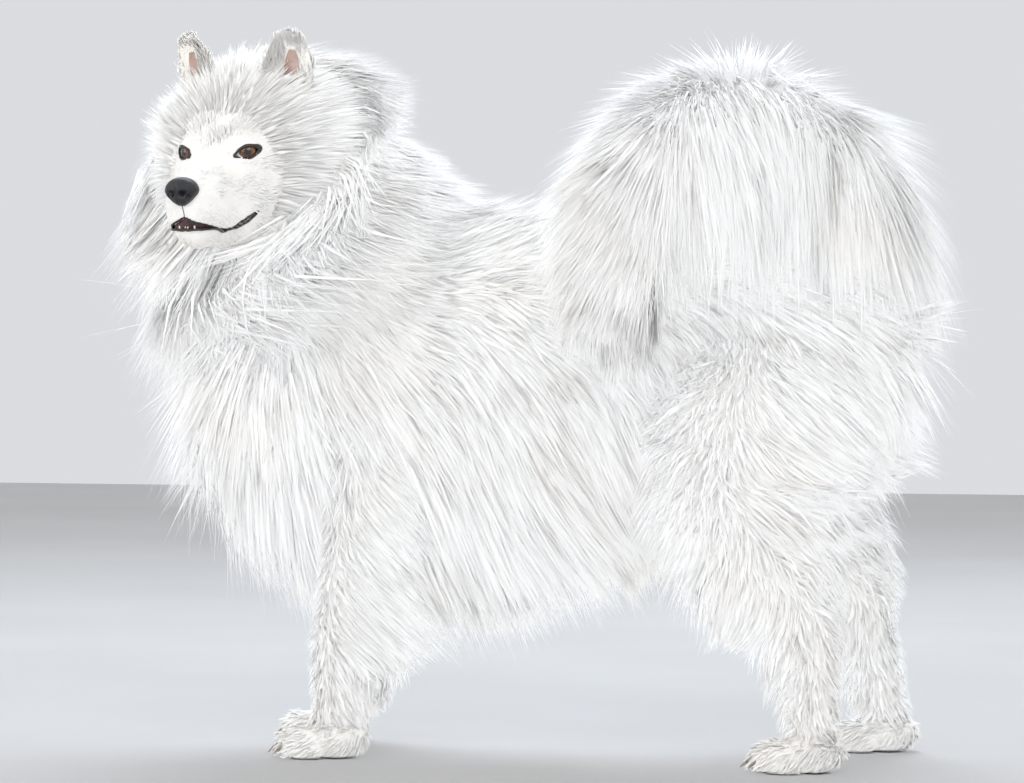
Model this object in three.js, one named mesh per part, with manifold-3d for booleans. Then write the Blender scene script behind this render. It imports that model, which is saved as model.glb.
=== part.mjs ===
// A standing samoyed at life size, its head turned to its left and its tail curled over its back.
// Millimetres. +X is the way the dog stands, +Y its left, +Z up, and the ground is Z = 0.
import * as THREE from "three";
import { mergeVertices } from "three/addons/utils/BufferGeometryUtils.js";
import Module from "manifold-3d";

const wasm = await Module();
wasm.setup();

// Driving sizes.
const CENTRE = [55, 48]; // the middle of the whole model's outline on the ground
const GAP = 0.35; // room between two nodes that touch
const JITTER = 6; // degrees that a lock may stand from its even place
const CORE = 0.45; // how far the solid core of the coat reaches from the skin to the tips
const ROOT = 0.1; // the level at which a lock starts, well inside the core
const TIP = 1.1; // the level of the tips of the locks, so that their faces between lie near level 1
const LIFT = 0.45; // how much faster a lock rises near its root than a straight one would

// Each row of a limb: [x, y, z of the axis, skin to the top, bottom and side, coat at the top, bottom and
// side, and coat beyond the end]. On a leg the top is its front and the bottom its back.
const TORSO = [
  [-322, 0, 425, 20, 25, 22, 50, 60, 60, -46],
  [-296, 0, 428, 70, 75, 62, 48, 70, 55, -20],
  [-230, 0, 435, 95, 95, 86, 45, 70, 45, 0],
  [-150, 0, 440, 97, 100, 87, 42, 85, 40, 0],
  [-70, 0, 428, 112, 114, 98, 44, 102, 42, 0],
  [20, 0, 412, 133, 133, 108, 46, 112, 46, 0],
  [110, 0, 405, 145, 142, 108, 50, 122, 52, 0],
  [200, 0, 405, 150, 135, 100, 58, 128, 62, 0],
  [275, 0, 412, 120, 110, 84, 70, 132, 80, 32],
  [328, 0, 425, 75, 72, 56, 62, 118, 82, 96],
  [348, 0, 428, 25, 25, 20, 54, 94, 62, 138],
];
const NECK = [
  [70, 0, 425, 100, 110, 85, 48, 110, 66, 0],
  [150, 0, 455, 85, 95, 80, 50, 110, 80, 0],
  [215, 3, 505, 80, 98, 80, 58, 132, 92, 0],
  [266, 13, 556, 72, 96, 76, 62, 166, 114, 0],
  [306, 32, 605, 66, 80, 70, 70, 174, 136, 0],
  [327, 60, 640, 60, 70, 66, 76, 150, 136, 0],
  [336, 98, 652, 50, 56, 56, 64, 122, 122, 0],
];
const TAIL = [
  [-258, 0, 470, 26, 26, 26, 60, 20, 50, 0],
  [-284, 2, 522, 24, 24, 24, 88, 24, 80, 0],
  [-278, 8, 578, 21, 21, 21, 92, 34, 98, 0],
  [-244, 22, 622, 19, 19, 19, 96, 40, 112, 0],
  [-194, 48, 646, 17, 17, 17, 104, 40, 122, 0],
  [-146, 84, 642, 15, 15, 15, 102, 34, 126, 0],
  [-112, 124, 608, 13, 13, 13, 96, 28, 126, 0],
  [-94, 156, 556, 11, 11, 11, 84, 20, 122, 0],
  [-88, 170, 506, 9, 9, 9, 66, 14, 108, 0],
  [-90, 175, 470, 6, 6, 6, 48, 10, 80, 25],
  [-92, 177, 450, 2, 2, 2, 20, 6, 40, 45],
];
const TAIL_MIDDLE = [-190, 40, 545]; // the point that the tail curls round
const FORELEG = [
  [200, 60, 430, 45, 55, 34, 20, 35, 20, 0],
  [205, 76, 345, 44, 54, 38, 20, 40, 22, 0],
  [212, 84, 280, 31, 40, 31, 18, 58, 24, 0],
  [228, 86, 190, 25, 27, 25, 15, 78, 20, 0],
  [238, 86, 112, 23, 23, 24, 13, 100, 17, 0],
  [240, 86, 62, 22, 21, 24, 12, 44, 14, 0],
  [244, 86, 30, 20, 18, 22, 10, 14, 12, 0],
];
const HINDLEG = [
  [-215, 56, 440, 90, 84, 38, 22, 40, 24, 0],
  [-208, 78, 372, 92, 84, 48, 28, 64, 32, 0],
  [-196, 90, 318, 82, 74, 46, 42, 86, 36, 0],
  [-194, 94, 270, 64, 54, 38, 60, 94, 38, 0],
  [-220, 96, 215, 42, 36, 29, 74, 80, 34, 0],
  [-254, 97, 165, 29, 28, 23, 66, 40, 27, 0],
  [-267, 97, 128, 24, 23, 21, 50, 14, 19, 0],
  [-271, 98, 84, 20, 18, 20, 42, 11, 16, 0],
  [-268, 98, 44, 20, 17, 21, 24, 12, 14, 0],
  [-264, 98, 26, 18, 15, 20, 14, 12, 12, 0],
];
// How far each leg's wrist or hock, and its foot, stand from the place of its rows: [forward, outward].
const STANCE = {
  front_left: { joint: [0, 0], foot: [0, 0] },
  front_right: { joint: [40, 0], foot: [50, 0] },
  hind_left: { joint: [0, 0], foot: [-4, 2] },
  hind_right: { joint: [-22, 4], foot: [-44, 34] },
};
const JOINT_HEIGHT = 125; // of the wrist and the hock above the ground

// The head's own frame has its origin between the eyes, x to the nose, y to its left and z to its crown.
const HEAD_AT = [343, 170, 632];
const HEAD_YAW = 79; // degrees from the way the dog stands, to its left
const HEAD_PITCH = 8; // nose below level
const HEAD = [
  [-134, 0, 2, 18, 24, 22, 50, 60, 80, -40],
  [-112, 0, 0, 48, 66, 50, 46, 62, 80, -10],
  [-82, 0, -6, 66, 84, 66, 44, 52, 64, 0],
  [-50, 0, -14, 71, 82, 68, 38, 36, 40, 0],
  [-24, 0, -24, 70, 74, 64, 14, 20, 16, 0],
  [-4, 0, -34, 62, 63, 54, 0, 8, 6, 0],
  [10, 0, -42, 51, 54, 43, 0, 2, 0, 0],
  [22, 0, -48, 45, 47, 36, 0, 0, 0, 0],
  [38, 0, -50, 40, 44, 32, 0, 0, 0, 0],
  [55, 0, -50, 35, 43, 29, 0, 0, 0, 0],
  [68, 0, -46, 28, 41, 24, 0, 0, 0, 0],
  [76, 0, -43, 18, 30, 15, 0, 0, 0, 0],
];
const EAR = [
  [-66, 44, 30, 15, 16, 23, 0, 0, 0, 0],
  [-64, 50, 58, 13, 14, 27, 0, 0, 0, 0],
  [-63, 55, 84, 10, 11, 26.5, 0, 0, 0, 0],
  [-63, 58, 104, 8, 8, 20, 0, 0, 0, 0],
  [-63, 59, 117, 5, 5, 12, 0, 0, 0, 0],
];
const EYE = { at: [-6, 33.5, 0], radius: 11.4, outward: 24, lid: 2, wide: 25, high: 12.5, slant: 12 };
const NOSE = { at: [77, 0, -31], long: 13, wide: 18.5, high: 15.5 };
const MOUTH = [[-12, -60], [4, -69], [22, -75], [42, -76], [60, -71], [71, -67]]; // x and z, corner to front
const LIP = 3.4; // radius of the roll of the lips

const MATERIAL = {
  coat: { color: 0xefece6, roughness: 0.9, metalness: 0 },
  nose: { color: 0x17161a, roughness: 0.35, metalness: 0 },
  eye: { color: 0x4a2413, roughness: 0.1, metalness: 0 },
  claw: { color: 0x6b625a, roughness: 0.5, metalness: 0 },
};

const v3 = (a) => new THREE.Vector3(...a);
const RAD = Math.PI / 180;
const UP = v3([0, 0, 1]);
const FORWARD = v3([1, 0, 0]);

// Seeded random numbers from -1 to 1, so that each build gives the same coat.
function dice(seed) {
  let state = seed * 7919 + 13;
  return () => {
    state = (Math.imul(state, 1664525) + 1013904223) >>> 0;
    return (state / 4294967295) * 2 - 1;
  };
}

// A row between the given ones, smooth through all of them, or straight on beyond the first and the last.
function rowAt(rows, u) {
  const last = rows.length - 1;
  const t = Math.min(Math.max(u, 0), last);
  const i = Math.min(Math.floor(t), last - 1);
  const f = t - i;
  const [a, b, c, d] = [rows[Math.max(i - 1, 0)], rows[i], rows[i + 1], rows[Math.min(i + 2, last)]];
  return b.map((_, k) => {
    const slope = c[k] - a[k];
    const bend = 2 * a[k] - 5 * b[k] + 4 * c[k] - d[k];
    const twist = 3 * (b[k] - c[k]) + d[k] - a[k];
    const value = b[k] + 0.5 * f * (slope + f * (bend + f * twist));
    if (k < 3) return value + (u - t) * (c[k] - b[k]);
    return k < 6 ? Math.max(value, 1) : value;
  });
}

// The way along a limb, its top and its side at a place u. On a body the reference points up and on a leg it
// points forward. A curled limb has its middle instead, so that its top faces away from that point.
function frameAt(limb, u) {
  if (limb.straight) return { along: v3([1, 0, 0]), side: v3([0, 1, 0]), top: v3([0, 0, 1]) };
  const here = v3(rowAt(limb.rows, u));
  const step = 0.05;
  const along = v3(rowAt(limb.rows, u + step)).sub(v3(rowAt(limb.rows, u - step))).normalize();
  if (limb.middle) {
    const top = here.clone().sub(limb.middle);
    top.addScaledVector(along, -top.dot(along)).normalize();
    return { along, side: top.clone().cross(along), top };
  }
  const side = limb.ref.clone().cross(along).normalize();
  return { along, side, top: along.clone().cross(side) };
}

// A point of the coat: u along the limb, angle from its top to its side, level 0 on the skin, 1 at the tips.
function pointAt(limb, u, angle, level, grow = 0) {
  const [x, y, z, up, down, side, coatUp, coatDown, coatSide, coatEnd] = rowAt(limb.rows, u);
  const { along, side: sideways, top } = frameAt(limb, u);
  const c = Math.cos(angle);
  const s = Math.sin(angle);
  const high = c >= 0 ? up + level * coatUp : down + level * coatDown;
  return new THREE.Vector3(x, y, z)
    .addScaledVector(along, level * coatEnd)
    .addScaledVector(top, (high + grow) * c)
    .addScaledVector(sideways, (side + level * coatSide + grow) * s);
}

// A closed solid from rings of points with a point beyond each end.
function skinOver(rings, start, end, matrix = null) {
  const n = rings[0].length;
  const points = [start, ...rings.flat(), end];
  const faces = [];
  const at = (ring, i) => 1 + ring * n + (i % n);
  for (let i = 0; i < n; i++) {
    faces.push(0, at(0, i + 1), at(0, i));
    for (let r = 0; r < rings.length - 1; r++) {
      faces.push(at(r, i), at(r, i + 1), at(r + 1, i + 1), at(r, i), at(r + 1, i + 1), at(r + 1, i));
    }
    faces.push(at(rings.length - 1, i), at(rings.length - 1, i + 1), points.length - 1);
  }
  const geometry = new THREE.BufferGeometry().setFromPoints(points);
  geometry.setIndex(faces);
  return solid(geometry, matrix);
}

// A closed three.js geometry as a solid that can be joined and cut.
function solid(geometry, matrix = null) {
  const bare = new THREE.BufferGeometry().setAttribute("position", geometry.getAttribute("position").clone());
  if (geometry.index) bare.setIndex(geometry.index);
  if (matrix) bare.applyMatrix4(matrix);
  const merged = mergeVertices(bare, 1e-4);
  const triVerts = new Uint32Array(merged.index.array);
  const vertProperties = merged.attributes.position.array;
  const make = () => new wasm.Manifold(new wasm.Mesh({ numProp: 3, vertProperties, triVerts }));
  const made = make();
  if (made.volume() >= 0) return made;
  for (let i = 0; i < triVerts.length; i += 3) {
    [triVerts[i + 1], triVerts[i + 2]] = [triVerts[i + 2], triVerts[i + 1]];
  }
  return make();
}

const join = (solids) => solids.reduce((a, b) => a.add(b));
const cut = (from, solids) => solids.reduce((a, b) => a.subtract(b), from);

// The core of a limb from place `from` to place `to`, grown to all sides where a neighbour needs room.
function core(limb, { from = 0, to = limb.rows.length - 1, steps, sides, level = CORE, dome = 4 }, grow = 0) {
  const rings = Array.from({ length: steps + 1 }, (_, i) => {
    const u = from + ((to - from) * i) / steps;
    return Array.from({ length: sides }, (_, j) => pointAt(limb, u, (2 * Math.PI * j) / sides, level, grow));
  });
  const end = (u, sign) => {
    const row = rowAt(limb.rows, u);
    return v3(row).addScaledVector(frameAt(limb, u).along, level * row[9] + sign * (dome + grow));
  };
  return skinOver(rings, end(from, -1), end(to, 1), limb.matrix);
}

// One flat lock: a leaf with a ridge, rooted at (u, angle) under the core. Its tip lies on the outside of the
// coat, as far from the root as `lie` reaches along the surface, and hangs lower by `drop`.
const LEAF = [[0.34, 1], [0.7, 0.66]]; // place along the lock, share of its width
const SHARP = 6; // times its growth that a sharp edge moves out, so that its faces clear by all of it
function lock(limb, { u, angle, lie, drop, width, thick }, grow = 0) {
  const level = (t) => ROOT + (TIP - ROOT) * t * (1 + LIFT * (1 - t));
  const from = pointAt(limb, u, angle, 0.6);
  const du = pointAt(limb, u + 0.05, angle, 0.6).sub(from).multiplyScalar(20);
  const da = pointAt(limb, u, angle + 0.05, 0.6).sub(from).multiplyScalar(20);
  const [uu, ua, aa] = [du.dot(du), du.dot(da), da.dot(da)];
  const [lu, la] = [lie.dot(du), lie.dot(da)];
  const area = uu * aa - ua * ua + 1;
  const within = (value, most) => Math.min(Math.max(value, -most), most);
  const alongBy = within((lu * aa - la * ua) / area, 3);
  const turnBy = within((la * uu - lu * ua) / area, 1.2);
  const hang = (t, point) => point.addScaledVector(UP, -drop * t * t);
  const at = (t, height) => hang(t, pointAt(limb, u + alongBy * t, angle + turnBy * t, level(t) + height));
  const middle = (t) => at(t, 0);
  const end = middle(1);
  const side = end.clone().sub(middle(0)).cross(at(0.5, 0.2).sub(middle(0.5))).normalize();
  const rings = LEAF.map(([t, share]) => {
    const here = middle(t);
    const out = side.clone().cross(middle(t + 0.03).sub(middle(t - 0.03))).normalize();
    const half = (width * share) / 2;
    const edge = half + SHARP * grow;
    const sag = half * 0.25 + 1.3 * grow;
    return [
      here.clone().addScaledVector(side, edge).addScaledVector(out, -sag),
      here.clone().addScaledVector(out, thick * (1.15 - t) + 1.3 * grow),
      here.clone().addScaledVector(side, -edge).addScaledVector(out, -sag),
    ];
  });
  const onward = end.clone().sub(middle(LEAF[1][0])).normalize();
  return skinOver(rings, middle(0.02), end.addScaledVector(onward, 2 * SHARP * grow), limb.matrix);
}

// Rows of locks round a limb, each row set between the places of the one before and closer together
// underneath by `crowd`. `lie` gives the way that the hair runs from a place, as long as the lock, or null
// where no lock grows, and `drop` how far its tip hangs.
function locksOf(limb, plan, grow = 0) {
  const { rows, arc = [-180, 180], count, crowd = 0, width, thick, seed, lie, drop = () => 0 } = plan;
  const random = dice(seed);
  const whole = arc[1] - arc[0] >= 360;
  const locks = [];
  rows.forEach((u, row) => {
    for (let i = 0; i < count; i++) {
      const share = whole ? (i + (row % 2) / 2) / count : (i + 0.25 + (row % 2) / 2) / count;
      const even = (arc[0] + (arc[1] - arc[0]) * share + random() * JITTER) * RAD;
      const angle = even + crowd * Math.sin(even);
      const size = 1 + 0.13 * random();
      const at = u + 0.12 * random();
      const skin = pointAt(limb, at, angle, 0);
      const out = pointAt(limb, at, angle, 1).sub(skin).normalize();
      const way = lie(at, angle, skin);
      if (way) {
        const shape = { lie: way.multiplyScalar(size), drop: drop(out, at), width: width * size, thick };
        locks.push(lock(limb, { u: at, angle, ...shape }, grow));
      }
    }
  });
  return locks;
}

// The largest closed body of a solid.
function largest(made) {
  return made.decompose().reduce((a, b) => (b.volume() > a.volume() ? b : a));
}

function box(low, high) {
  const size = high.map((h, i) => h - low[i]);
  const geometry = new THREE.BoxGeometry(...size);
  return solid(geometry, new THREE.Matrix4().makeTranslation(...low.map((l, i) => l + size[i] / 2)));
}

function ball(centre, radii, matrix = null, across = 12, down = 8) {
  const local = new THREE.Matrix4().makeTranslation(...centre).scale(v3(radii));
  return solid(new THREE.SphereGeometry(1, across, down), matrix ? matrix.clone().multiply(local) : local);
}

function tube(points, radius, steps, matrix, sides = 6) {
  const ring = new THREE.Shape();
  for (let i = 0; i < sides; i++) {
    const a = (2 * Math.PI * i) / sides;
    ring[i ? "lineTo" : "moveTo"](radius * Math.cos(a), radius * Math.sin(a));
  }
  ring.closePath();
  const extrudePath = new THREE.CatmullRomCurve3(points);
  return solid(new THREE.ExtrudeGeometry(ring, { steps, extrudePath, bevelEnabled: false }), matrix);
}

// The limbs.
const headMatrix = new THREE.Matrix4()
  .makeTranslation(...HEAD_AT)
  .multiply(new THREE.Matrix4().makeRotationZ(HEAD_YAW * RAD))
  .multiply(new THREE.Matrix4().makeRotationY(HEAD_PITCH * RAD));
const torso = { rows: TORSO, ref: UP };
const neck = { rows: NECK, ref: UP };
const tail = { rows: TAIL, middle: v3(TAIL_MIDDLE) };
const head = { rows: HEAD, straight: true, matrix: headMatrix };

// A leg's rows, mirrored for the right side, leaning from the body to its joint and from there to its foot.
function legRows(rows, side, { joint, foot }) {
  const top = rows[0][2];
  return rows.map(([x, y, z, ...rest]) => {
    const upper = Math.min((top - z) / (top - JOINT_HEIGHT), 1);
    const lower = Math.max(1 - z / JOINT_HEIGHT, 0);
    const [forward, outward] = joint.map((j, i) => upper * j + lower * (foot[i] - j));
    return [x + forward, side * (y + outward), z, ...rest];
  });
}
const legs = {};
for (const [name, stance] of Object.entries(STANCE)) {
  const rows = name.startsWith("front") ? FORELEG : HINDLEG;
  legs[name] = { rows: legRows(rows, name.endsWith("left") ? 1 : -1, stance), ref: FORWARD };
}

// Where the neck ends and the torso begins: the side of this plane towards the head is the neck's.
const NECK_CUT = { at: [206, 0, 498], normal: [0.72, 0, 0.69] };
const aheadOfCut = (point) => point.clone().sub(v3(NECK_CUT.at)).dot(v3(NECK_CUT.normal));
function neckSide(shift) {
  const size = 1200;
  const out = v3(NECK_CUT.normal).normalize();
  const turn = new THREE.Quaternion().setFromUnitVectors(FORWARD, out);
  const centre = v3(NECK_CUT.at).addScaledVector(out, size / 2 + shift);
  const matrix = new THREE.Matrix4().compose(centre, turn, new THREE.Vector3(1, 1, 1));
  return solid(new THREE.BoxGeometry(size, size, size), matrix);
}

// The lie of the coat. Each gives the way and the length of a lock at a place.
const towards = (x, y, z, length) => new THREE.Vector3(x, y, z).normalize().multiplyScalar(length);
const COAT = {
  torso: {
    rows: [0.7, 2, 3.2, 4.3, 5.4, 6.5, 7.6, 8.7, 9.5],
    count: 8,
    crowd: 0.3,
    width: 108,
    thick: 14,
    seed: 1,
    lie: (u, angle, at) => {
      if (aheadOfCut(at) > -45 && at.z > 440) return null;
      const low = (1 - Math.cos(angle)) / 2;
      if (u > 1.3 && u < 3.5 && low > 0.35 && low < 0.95) return null;
      if (u < 1.3) return towards(-0.5, 0, -1, 110);
      if (u > 8.2) return towards(-0.15, 0, -1, 125);
      return towards(-1, 0, -0.25 - 1.3 * low, 150 - 20 * low);
    },
  },
  neck: {
    rows: [2.2, 3.3, 4.4, 5.4],
    count: 10,
    width: 98,
    thick: 14,
    seed: 2,
    lie: (u, angle, at) => {
      if (aheadOfCut(at) < 0) return null;
      const front = Math.max(at.x - 270, 0) / 120;
      const behindHead = Math.max(u - 3.6, 0) / 1.8;
      return towards(-1 + Math.min(front, 1), -0.12 - behindHead, -0.62 - front, 145);
    },
  },
  tail: {
    rows: [0.6, 1.8, 3, 4.2, 5.4, 6.7, 8.2],
    count: 6,
    width: 92,
    thick: 13,
    seed: 23,
    lie: (u) => frameAt(tail, u).along.multiplyScalar(90 * Math.min(Math.max(u - 2.6, -0.8), 2) * 0.5),
    drop: (out, u) => 150 * (1 - Math.max(out.z, 0)) * (1 - Math.max(-frameAt(tail, u).along.z, 0)),
  },
  head: {
    rows: [2.6],
    count: 9,
    width: 66,
    thick: 9,
    seed: 4,
    lie: (u, angle) => towards(-1, 0, 0.3 * Math.cos(angle) - 0.3, 66),
  },
  foreleg: {
    rows: [2, 3.2],
    arc: [100, 260],
    count: 3,
    width: 56,
    thick: 9,
    seed: 5,
    lie: () => towards(-0.3, 0, -1, 110),
  },
  hindleg: {
    rows: [0.9, 2.4, 3.8],
    count: 5,
    width: 98,
    thick: 12,
    seed: 6,
    lie: () => towards(-0.4, 0, -1, 125),
  },
};

// The head's features, in its own frame.
function eyeMatrix(side) {
  return headMatrix
    .clone()
    .multiply(new THREE.Matrix4().makeTranslation(EYE.at[0], side * EYE.at[1], EYE.at[2]))
    .multiply(new THREE.Matrix4().makeRotationZ(side * EYE.outward * RAD));
}

function lidOpening(side) {
  const half = EYE.wide / 2;
  const almond = new THREE.Shape();
  almond.moveTo(-half, 0);
  almond.quadraticCurveTo(0, EYE.high, half, 0);
  almond.quadraticCurveTo(0, -EYE.high, -half, 0);
  const depth = EYE.radius * 2;
  const geometry = new THREE.ExtrudeGeometry(almond, { depth, bevelEnabled: false, curveSegments: 4 });
  const turn = new THREE.Matrix4().makeBasis(v3([0, 1, 0]), v3([0, 0, 1]), v3([1, 0, 0]));
  const slant = new THREE.Matrix4().makeRotationX(side * EYE.slant * RAD);
  return solid(geometry, eyeMatrix(side).multiply(slant).multiply(turn));
}

function eyeball(side, grow = 0) {
  const r = EYE.radius + grow;
  return ball([0, 0, 0], [r, r, r], eyeMatrix(side), 12, 8);
}

// The skin's reach to the side at a place of the muzzle.
function muzzleSide(x, z) {
  const u = HEAD.findIndex((row, i) => i < HEAD.length - 1 && HEAD[i + 1][0] >= x);
  const row = rowAt(HEAD, u + (x - HEAD[u][0]) / (HEAD[u + 1][0] - HEAD[u][0]));
  const c = (z - row[2]) / (z > row[2] ? row[3] : row[4]);
  return row[5] * Math.sqrt(Math.max(1 - c * c, 0.02));
}

function mouthLine(inset) {
  const left = MOUTH.map(([x, z]) => v3([x, muzzleSide(x, z) - inset, z]));
  const front = v3([77 - inset, 0, -66]);
  const right = left.map((p) => v3([p.x, -p.y, p.z])).reverse();
  return [...left, front, ...right];
}

const lips = (grow = 0) => tube(mouthLine(0.8), LIP + grow, 12, headMatrix, 4);

function nose(grow = 0) {
  const [x, y, z] = NOSE.at;
  const pad = ball([x, y, z], [NOSE.long + grow, NOSE.wide + grow, NOSE.high + grow], headMatrix, 12, 7);
  const narrow = [NOSE.long - 2 + grow, NOSE.wide * 0.62 + grow, 11 + grow];
  const lower = ball([x - 2, y, z - 11], narrow, headMatrix, 8, 4);
  return pad.add(lower);
}

function nostrils() {
  const [x, , z] = NOSE.at;
  const holes = [1, -1].flatMap((side) => [
    ball([x + 12, side * 8.5, z - 3], [6, 4.2, 4.4], headMatrix, 6, 4),
    ball([x + 7, side * 15, z - 7], [6, 5, 2.4], headMatrix, 4, 3),
  ]);
  const groove = box([-6, -0.9, -12], [6, 0.9, 10]);
  const at = headMatrix.clone().multiply(new THREE.Matrix4().makeTranslation(x + 13, 0, z - 14));
  return [...holes, groove.transform(at.elements)];
}

function earCore(side, grow = 0) {
  const rows = EAR.map(([x, y, z, ...rest]) => [x, side * y, z, ...rest]);
  return core({ rows, ref: FORWARD, matrix: headMatrix }, { steps: 7, sides: 10, level: 0, dome: 5 }, grow);
}

// The hollow of an ear, open to the front and a little outward.
function earCup(side) {
  const rows = EAR.slice(1).map(([x, y, z, front, back, wide]) => {
    return [x + front + 1.5, side * (y + 4), z - 4, front * 0.9, front * 0.95, wide * 0.62, 0, 0, 0, 0];
  });
  return core({ rows, ref: FORWARD, matrix: headMatrix }, { steps: 5, sides: 8, level: 0, dome: 3 });
}

const SKULL = { steps: 11, sides: 14, dome: 6 };
function headCore() {
  const lids = [1, -1].map((side) => {
    const r = EYE.radius + EYE.lid;
    return ball([0, 0, 0], [r, r, r], eyeMatrix(side), 10, 6);
  });
  const line = tube(mouthLine(-2.2), 1.9, 12, headMatrix, 3);
  const openings = [1, -1].flatMap((side) => [lidOpening(side), eyeball(side, GAP)]);
  return cut(join([core(head, SKULL), ...lids, lips()]), [line, ...openings, nose(GAP)]);
}

// A foot stands flat on the ground: four toes before a broad palm.
const TOES = [[-2, 23], [9, 8], [9, -8], [-2, -23]]; // forward and sideways from the foot's middle
function footAt(name) {
  const last = legs[name].rows.at(-1);
  return [last[0] + (name.startsWith("front") ? 12 : 14), last[1]];
}
function paw(name, grow = 0) {
  const [x, y] = footAt(name);
  const palm = ball([x - 14, y, 22], [34 + grow, 31 + grow, 24 + grow], null, 8, 4);
  const toes = TOES.map(([forward, aside]) => {
    return ball([x + 14 + forward, y + aside, 15], [26 + grow, 12 + grow, 18 + grow], null, 6, 3);
  });
  return cut(join([palm, ...toes]), [box([x - 90, y - 90, -40], [x + 90, y + 90, grow ? -grow : 0])]);
}
function claw(name, toe) {
  const [x, y] = footAt(name);
  const [forward, aside] = TOES[toe];
  const root = [x + 32 + forward, y + aside, 15];
  const bend = [[0, 0, 4.2], [9, -3, 3]];
  const rings = bend.map(([dx, dz, r]) =>
    Array.from({ length: 4 }, (_, i) => {
      const a = (2 * Math.PI * i) / 4;
      return v3([root[0] + dx, root[1] + 0.7 * r * Math.cos(a), root[2] + dz + r * Math.sin(a)]);
    }),
  );
  return skinOver(rings, v3([root[0] - 2, root[1], root[2]]), v3([root[0] + 17, root[1], root[2] - 11]));
}

const root = new THREE.Group();
function addNode(name, made, material) {
  const mesh = largest(made).getMesh();
  const geometry = new THREE.BufferGeometry();
  geometry.setAttribute("position", new THREE.BufferAttribute(mesh.vertProperties, 3));
  geometry.setIndex(new THREE.BufferAttribute(mesh.triVerts, 1));
  geometry.computeVertexNormals();
  const node = new THREE.Mesh(geometry, new THREE.MeshStandardMaterial(MATERIAL[material]));
  node.name = name;
  root.add(node);
}

// The head with its ears, eyes and nose.
const grownEars = [earCore(1, GAP), earCore(-1, GAP)];
const headLocks = (grow) => locksOf(head, COAT.head, grow);
const roomInHead = [...grownEars, nose(GAP), eyeball(1, GAP), eyeball(-1, GAP)];
addNode("head", cut(join([headCore(), ...headLocks(0)]), roomInHead), "coat");
addNode("ear_left", cut(earCore(1), [earCup(1)]), "coat");
addNode("ear_right", cut(earCore(-1), [earCup(-1)]), "coat");
addNode("eye_left", eyeball(1), "eye");
addNode("eye_right", eyeball(-1), "eye");
addNode("nose", cut(nose(), nostrils()), "nose");
const faceRoom = [eyeball(1, EYE.lid + GAP), eyeball(-1, EYE.lid + GAP), lips(GAP), nose(GAP)];
const grownHead = join([core(head, SKULL, GAP), ...headLocks(GAP), ...grownEars, ...faceRoom]);

// The neck with its ruff, then the torso, the tail and the legs, each cleared of those before it.
const NECK_SHAPE = { steps: 5, sides: 11 };
const neckBody = (grow) => {
  const inner = core(neck, NECK_SHAPE, grow).intersect(neckSide(-grow));
  return join([inner, ...locksOf(neck, COAT.neck, grow)]);
};
addNode("neck", cut(neckBody(0), [grownHead]), "coat");
const grownNeck = neckBody(GAP).add(grownHead);

const TORSO_SHAPE = { steps: 8, sides: 11, dome: 10 };
const torsoBody = (grow) => join([core(torso, TORSO_SHAPE, grow), ...locksOf(torso, COAT.torso, grow)]);
addNode("torso", cut(torsoBody(0), [grownNeck]), "coat");
const grownTorso = torsoBody(GAP).add(grownNeck);

const TAIL_CUTS = { tail_root: [0, 2.6], tail_arch: [2.6, 5.6], tail_end: [5.6, TAIL.length - 1] };
let cleared = grownTorso;
for (const [name, [from, to]] of Object.entries(TAIL_CUTS)) {
  const rows = COAT.tail.rows.filter((u) => u >= from && u < to);
  const body = (grow) => {
    const inner = core(tail, { from, to, steps: Math.round(to - from), sides: 7 }, grow);
    return join([inner, ...locksOf(tail, { ...COAT.tail, rows, seed: COAT.tail.seed + from }, grow)]);
  };
  addNode(name, cut(body(0), [cleared]), "coat");
  cleared = cleared.add(body(GAP));
}

for (const name of Object.keys(legs)) {
  const plan = name.startsWith("front") ? COAT.foreleg : COAT.hindleg;
  const body = join([core(legs[name], { steps: 7, sides: 8 }), ...locksOf(legs[name], plan)]);
  addNode("leg_" + name, cut(body, [cleared, paw(name, GAP)]), "coat");
  addNode("paw_" + name, paw(name), "coat");
  TOES.forEach((_, toe) => {
    addNode(`claw_${name}_${toe + 1}`, cut(claw(name, toe), [paw(name, GAP)]), "claw");
  });
}
root.position.set(-CENTRE[0], -CENTRE[1], 0);

export default root;
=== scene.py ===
import math

import bmesh
import bpy
import numpy as np
from mathutils import Euler, Matrix, Vector
from mathutils.bvhtree import BVHTree
from mathutils.kdtree import KDTree


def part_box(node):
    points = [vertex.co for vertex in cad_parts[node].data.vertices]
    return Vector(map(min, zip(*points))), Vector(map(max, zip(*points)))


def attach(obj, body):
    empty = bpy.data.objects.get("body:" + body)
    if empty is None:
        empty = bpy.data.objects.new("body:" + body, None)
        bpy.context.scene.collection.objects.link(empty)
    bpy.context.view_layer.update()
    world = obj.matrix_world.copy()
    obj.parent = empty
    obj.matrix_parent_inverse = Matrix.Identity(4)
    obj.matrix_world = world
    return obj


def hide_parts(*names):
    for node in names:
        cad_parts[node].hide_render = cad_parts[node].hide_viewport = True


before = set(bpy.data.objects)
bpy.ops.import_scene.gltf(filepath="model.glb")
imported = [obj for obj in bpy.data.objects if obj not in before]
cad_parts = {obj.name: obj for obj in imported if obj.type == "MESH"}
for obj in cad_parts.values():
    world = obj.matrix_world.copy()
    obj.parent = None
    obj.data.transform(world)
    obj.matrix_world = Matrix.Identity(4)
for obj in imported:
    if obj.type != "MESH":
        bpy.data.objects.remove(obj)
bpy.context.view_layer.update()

scene = bpy.context.scene
MM = 0.001
RAD = math.pi / 180
TURN = 2 * math.pi
SIDES = (("left", 1), ("right", -1))
CENTRE = (55.0, 48.0)  # x and y, in the tables below, of the shared frame's origin
BODY = "root"

# The camera stands level with the flank, far off, a little behind the dog's left side.
CAMERA = {"azimuth": 195, "distance": 4.6, "height": 0.49, "lens": 154, "pitch": 1.33, "over": (0.069, 0.018)}

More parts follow.
